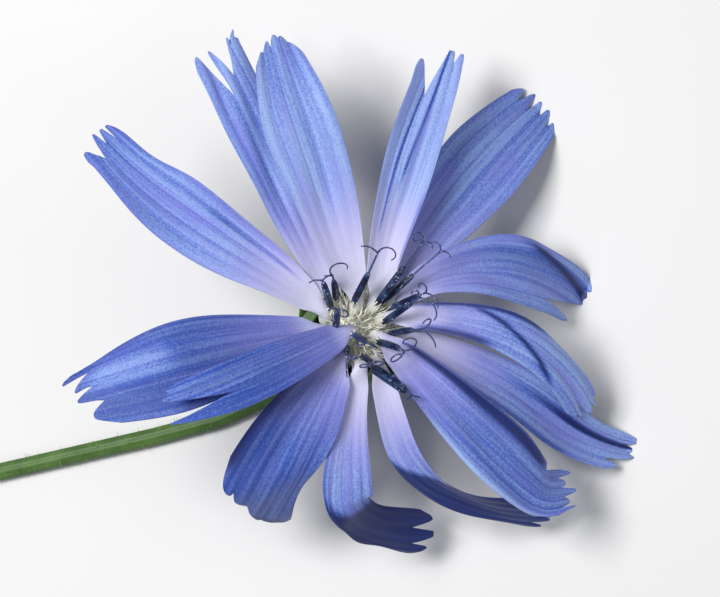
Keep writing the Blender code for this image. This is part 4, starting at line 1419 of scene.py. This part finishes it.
# %% Cream tuft
DOME_RADIUS = 2.3
TUFT_COUNT = 420
SPIKE_LENGTH = 1.5
SPIKE_RADIUS = 0.055
SPIKE_TIP = 0.018
SPIKE_SPREAD = 330.0  # how fast the spikes lean outwards, per metre from the middle
TUFT_CREAM = (0.93, 0.93, 0.86)
TUFT_SHADE = (0.84, 0.84, 0.70)


def tuft_material():
    shader = Shader("tuft_cream")
    place = shader.place()
    mottle = shader.noise(place, 900.0, detail=3.0)
    fine = shader.noise(place, 7000.0, detail=2.0)
    colour = shader.blend((mottle * 0.6 + fine * 0.4).step(0.36, 0.6), TUFT_SHADE, TUFT_CREAM)
    return shader.finish(
        Base_Color=colour,
        Roughness=0.5 + fine * 0.2,
        Normal=shader.bump(fine, 0.4, 0.00006),
        Subsurface_Weight=0.15,
        Subsurface_Radius=(0.6, 0.6, 0.3),
        Subsurface_Scale=0.0005,
    )


def tuft_tree():
    """Thin spikes planted on the incoming dome, each leaning away from the head's middle."""
    recipe = Recipe("plant_tuft")
    length = recipe.size("Length", SPIKE_LENGTH * MM)
    density = recipe.size("Density", TUFT_COUNT / (math.pi * (DOME_RADIUS * MM) ** 2))
    spots = recipe.scatter(recipe.above(recipe.facing()["Z"], 0.4), density, 3)
    spike = recipe.node("GeometryNodeMeshCone", Vertices=6, Side_Segments=2, Radius_Top=SPIKE_TIP * MM,
                        Radius_Bottom=SPIKE_RADIUS * MM, Depth=length)
    raised = recipe.node("GeometryNodeTransform", Geometry=spike[0], Translation=(0.0, 0.0, 0.1 * MM))
    place = recipe.node("GeometryNodeInputPosition")
    spread = recipe.node("ShaderNodeVectorMath", {"operation": "SCALE"}, Vector=place[0],
                         Scale=SPIKE_SPREAD)
    add = {"operation": "ADD"}
    leaning = recipe.node("ShaderNodeVectorMath", add, {0: spread[0], 1: recipe.tilt(0.3, 4)})
    aimed = recipe.node("ShaderNodeVectorMath", add, {0: leaning[0], 1: (0.0, 0.0, 1.0)})
    turn = recipe.node("FunctionNodeAlignEulerToVector", {"axis": "Z"}, Vector=aimed[0])
    spikes = recipe.plant(spots[0], raised[0], Rotation=turn[0], Scale=recipe.random(0.6, 1.25, 6))
    return recipe.end(spikes, tuft_cream)


tuft_cream = tuft_material()
dome_profile = [
    (DOME_RADIUS, -3.0), (DOME_RADIUS, -0.7), (2.1, -0.35), (1.6, -0.1), (0.8, 0.1), (0.1, 0.15),
]
dome = new_piece("tuft_dome", *revolved(dome_profile, 48), tuft_cream)
tuft = leaned(grown(dome, tuft_tree(), "cream_tuft"))
leaned(dome)
print("tuft:", len(tuft.data.polygons), "faces")

# %% Finish
for number, corolla in enumerate(corollas, start=1):
    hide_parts(f"corolla_{number:02d}")
    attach(corolla, "root")
for number, heart in enumerate(hearts, start=1):
    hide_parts(f"anthers_{number:02d}")
    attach(heart, "root")
for number, grains in enumerate(pollen, start=1):
    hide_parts(f"anthers_{number:02d}")
    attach(grains, "root")
for piece in (stem, cup, inner_bracts, outer_bracts, stem_hairs, bract_hairs, dome, tuft):
    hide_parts("stem_and_involucre")
    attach(piece, "root")


# %% Floor, light and camera
FLOOR_REACH = 600.0
FLOOR_GREY = (0.72, 0.72, 0.725)
FLOOR_PALE = (0.75, 0.75, 0.755)


def new_floor():
    """A wide pale sheet under the flower."""
    corners = [(x * FLOOR_REACH, y * FLOOR_REACH, 0) for x, y in ((-1, -1), (1, -1), (1, 1), (-1, 1))]
    shader = Shader("pale_floor")
    grain = shader.noise(shader.place(), 60.0)
    material = shader.finish(Base_Color=shader.blend(grain, FLOOR_GREY, FLOOR_PALE), Roughness=0.8)
    floor = new_piece("floor", np.array(corners), [(0, 1, 2, 3)], material)


def new_light(name, place, aim, size, power, colour):
    """A soft square light at a place, in millimetres, that looks at a point."""
    data = bpy.data.lights.new(name, "AREA")
    data.size = size * MM
    data.energy = power
    data.color = colour
    lamp = placed(name, data)
    lamp.location = Vector(place) * MM
    lamp.rotation_euler = (Vector(aim) - Vector(place)).to_track_quat("-Z", "Y").to_euler()


LIGHT_AIM = (5, 0, 8)
WORLD_COLOUR = (0.92, 0.95, 1.0, 1.0)
WORLD_STRENGTH = 0.20
RIGHT = (0.8814, -0.4279, -0.2)  # the picture's own directions, in the scene
UP = (0.4454, 0.8940, 0.05)
TOWARD = (0.1574, -0.1332, 0.9785)
CAMERA_DISTANCE = 220.0
CAMERA_LENS = 156.2
OFF_CENTRE = (0.141, -1.866)  # where the disc lies in the picture, from its centre


def new_camera():
    """The camera that looks down on the head."""
    right, up, toward = (Vector(v).normalized() for v in (RIGHT, UP, TOWARD))
    place = Vector(DISC_PLACE) + toward * CAMERA_DISTANCE - right * OFF_CENTRE[0] - up * OFF_CENTRE[1]
    camera = placed("camera", bpy.data.cameras.new("camera"))
    turn = Matrix((right, up, toward)).transposed()
    camera.matrix_world = Matrix.Translation(place * MM) @ turn.to_4x4()
    camera.data.lens = CAMERA_LENS
    camera.data.clip_start = 0.01
    bpy.context.scene.camera = camera


new_floor()
new_light("key", (-40, 60, 230), LIGHT_AIM, size=90, power=0.62, colour=(1.0, 0.99, 0.97))
new_light("fill", (160, -120, 160), LIGHT_AIM, size=200, power=0.16, colour=(0.94, 0.96, 1.0))
new_camera()
world = bpy.data.worlds.new("studio")
bpy.context.scene.world = world
world.use_nodes = True
glow = world.node_tree.nodes["Background"].inputs
glow["Color"].default_value = WORLD_COLOUR
glow["Strength"].default_value = WORLD_STRENGTH
bpy.context.scene.view_settings.view_transform = "Standard"
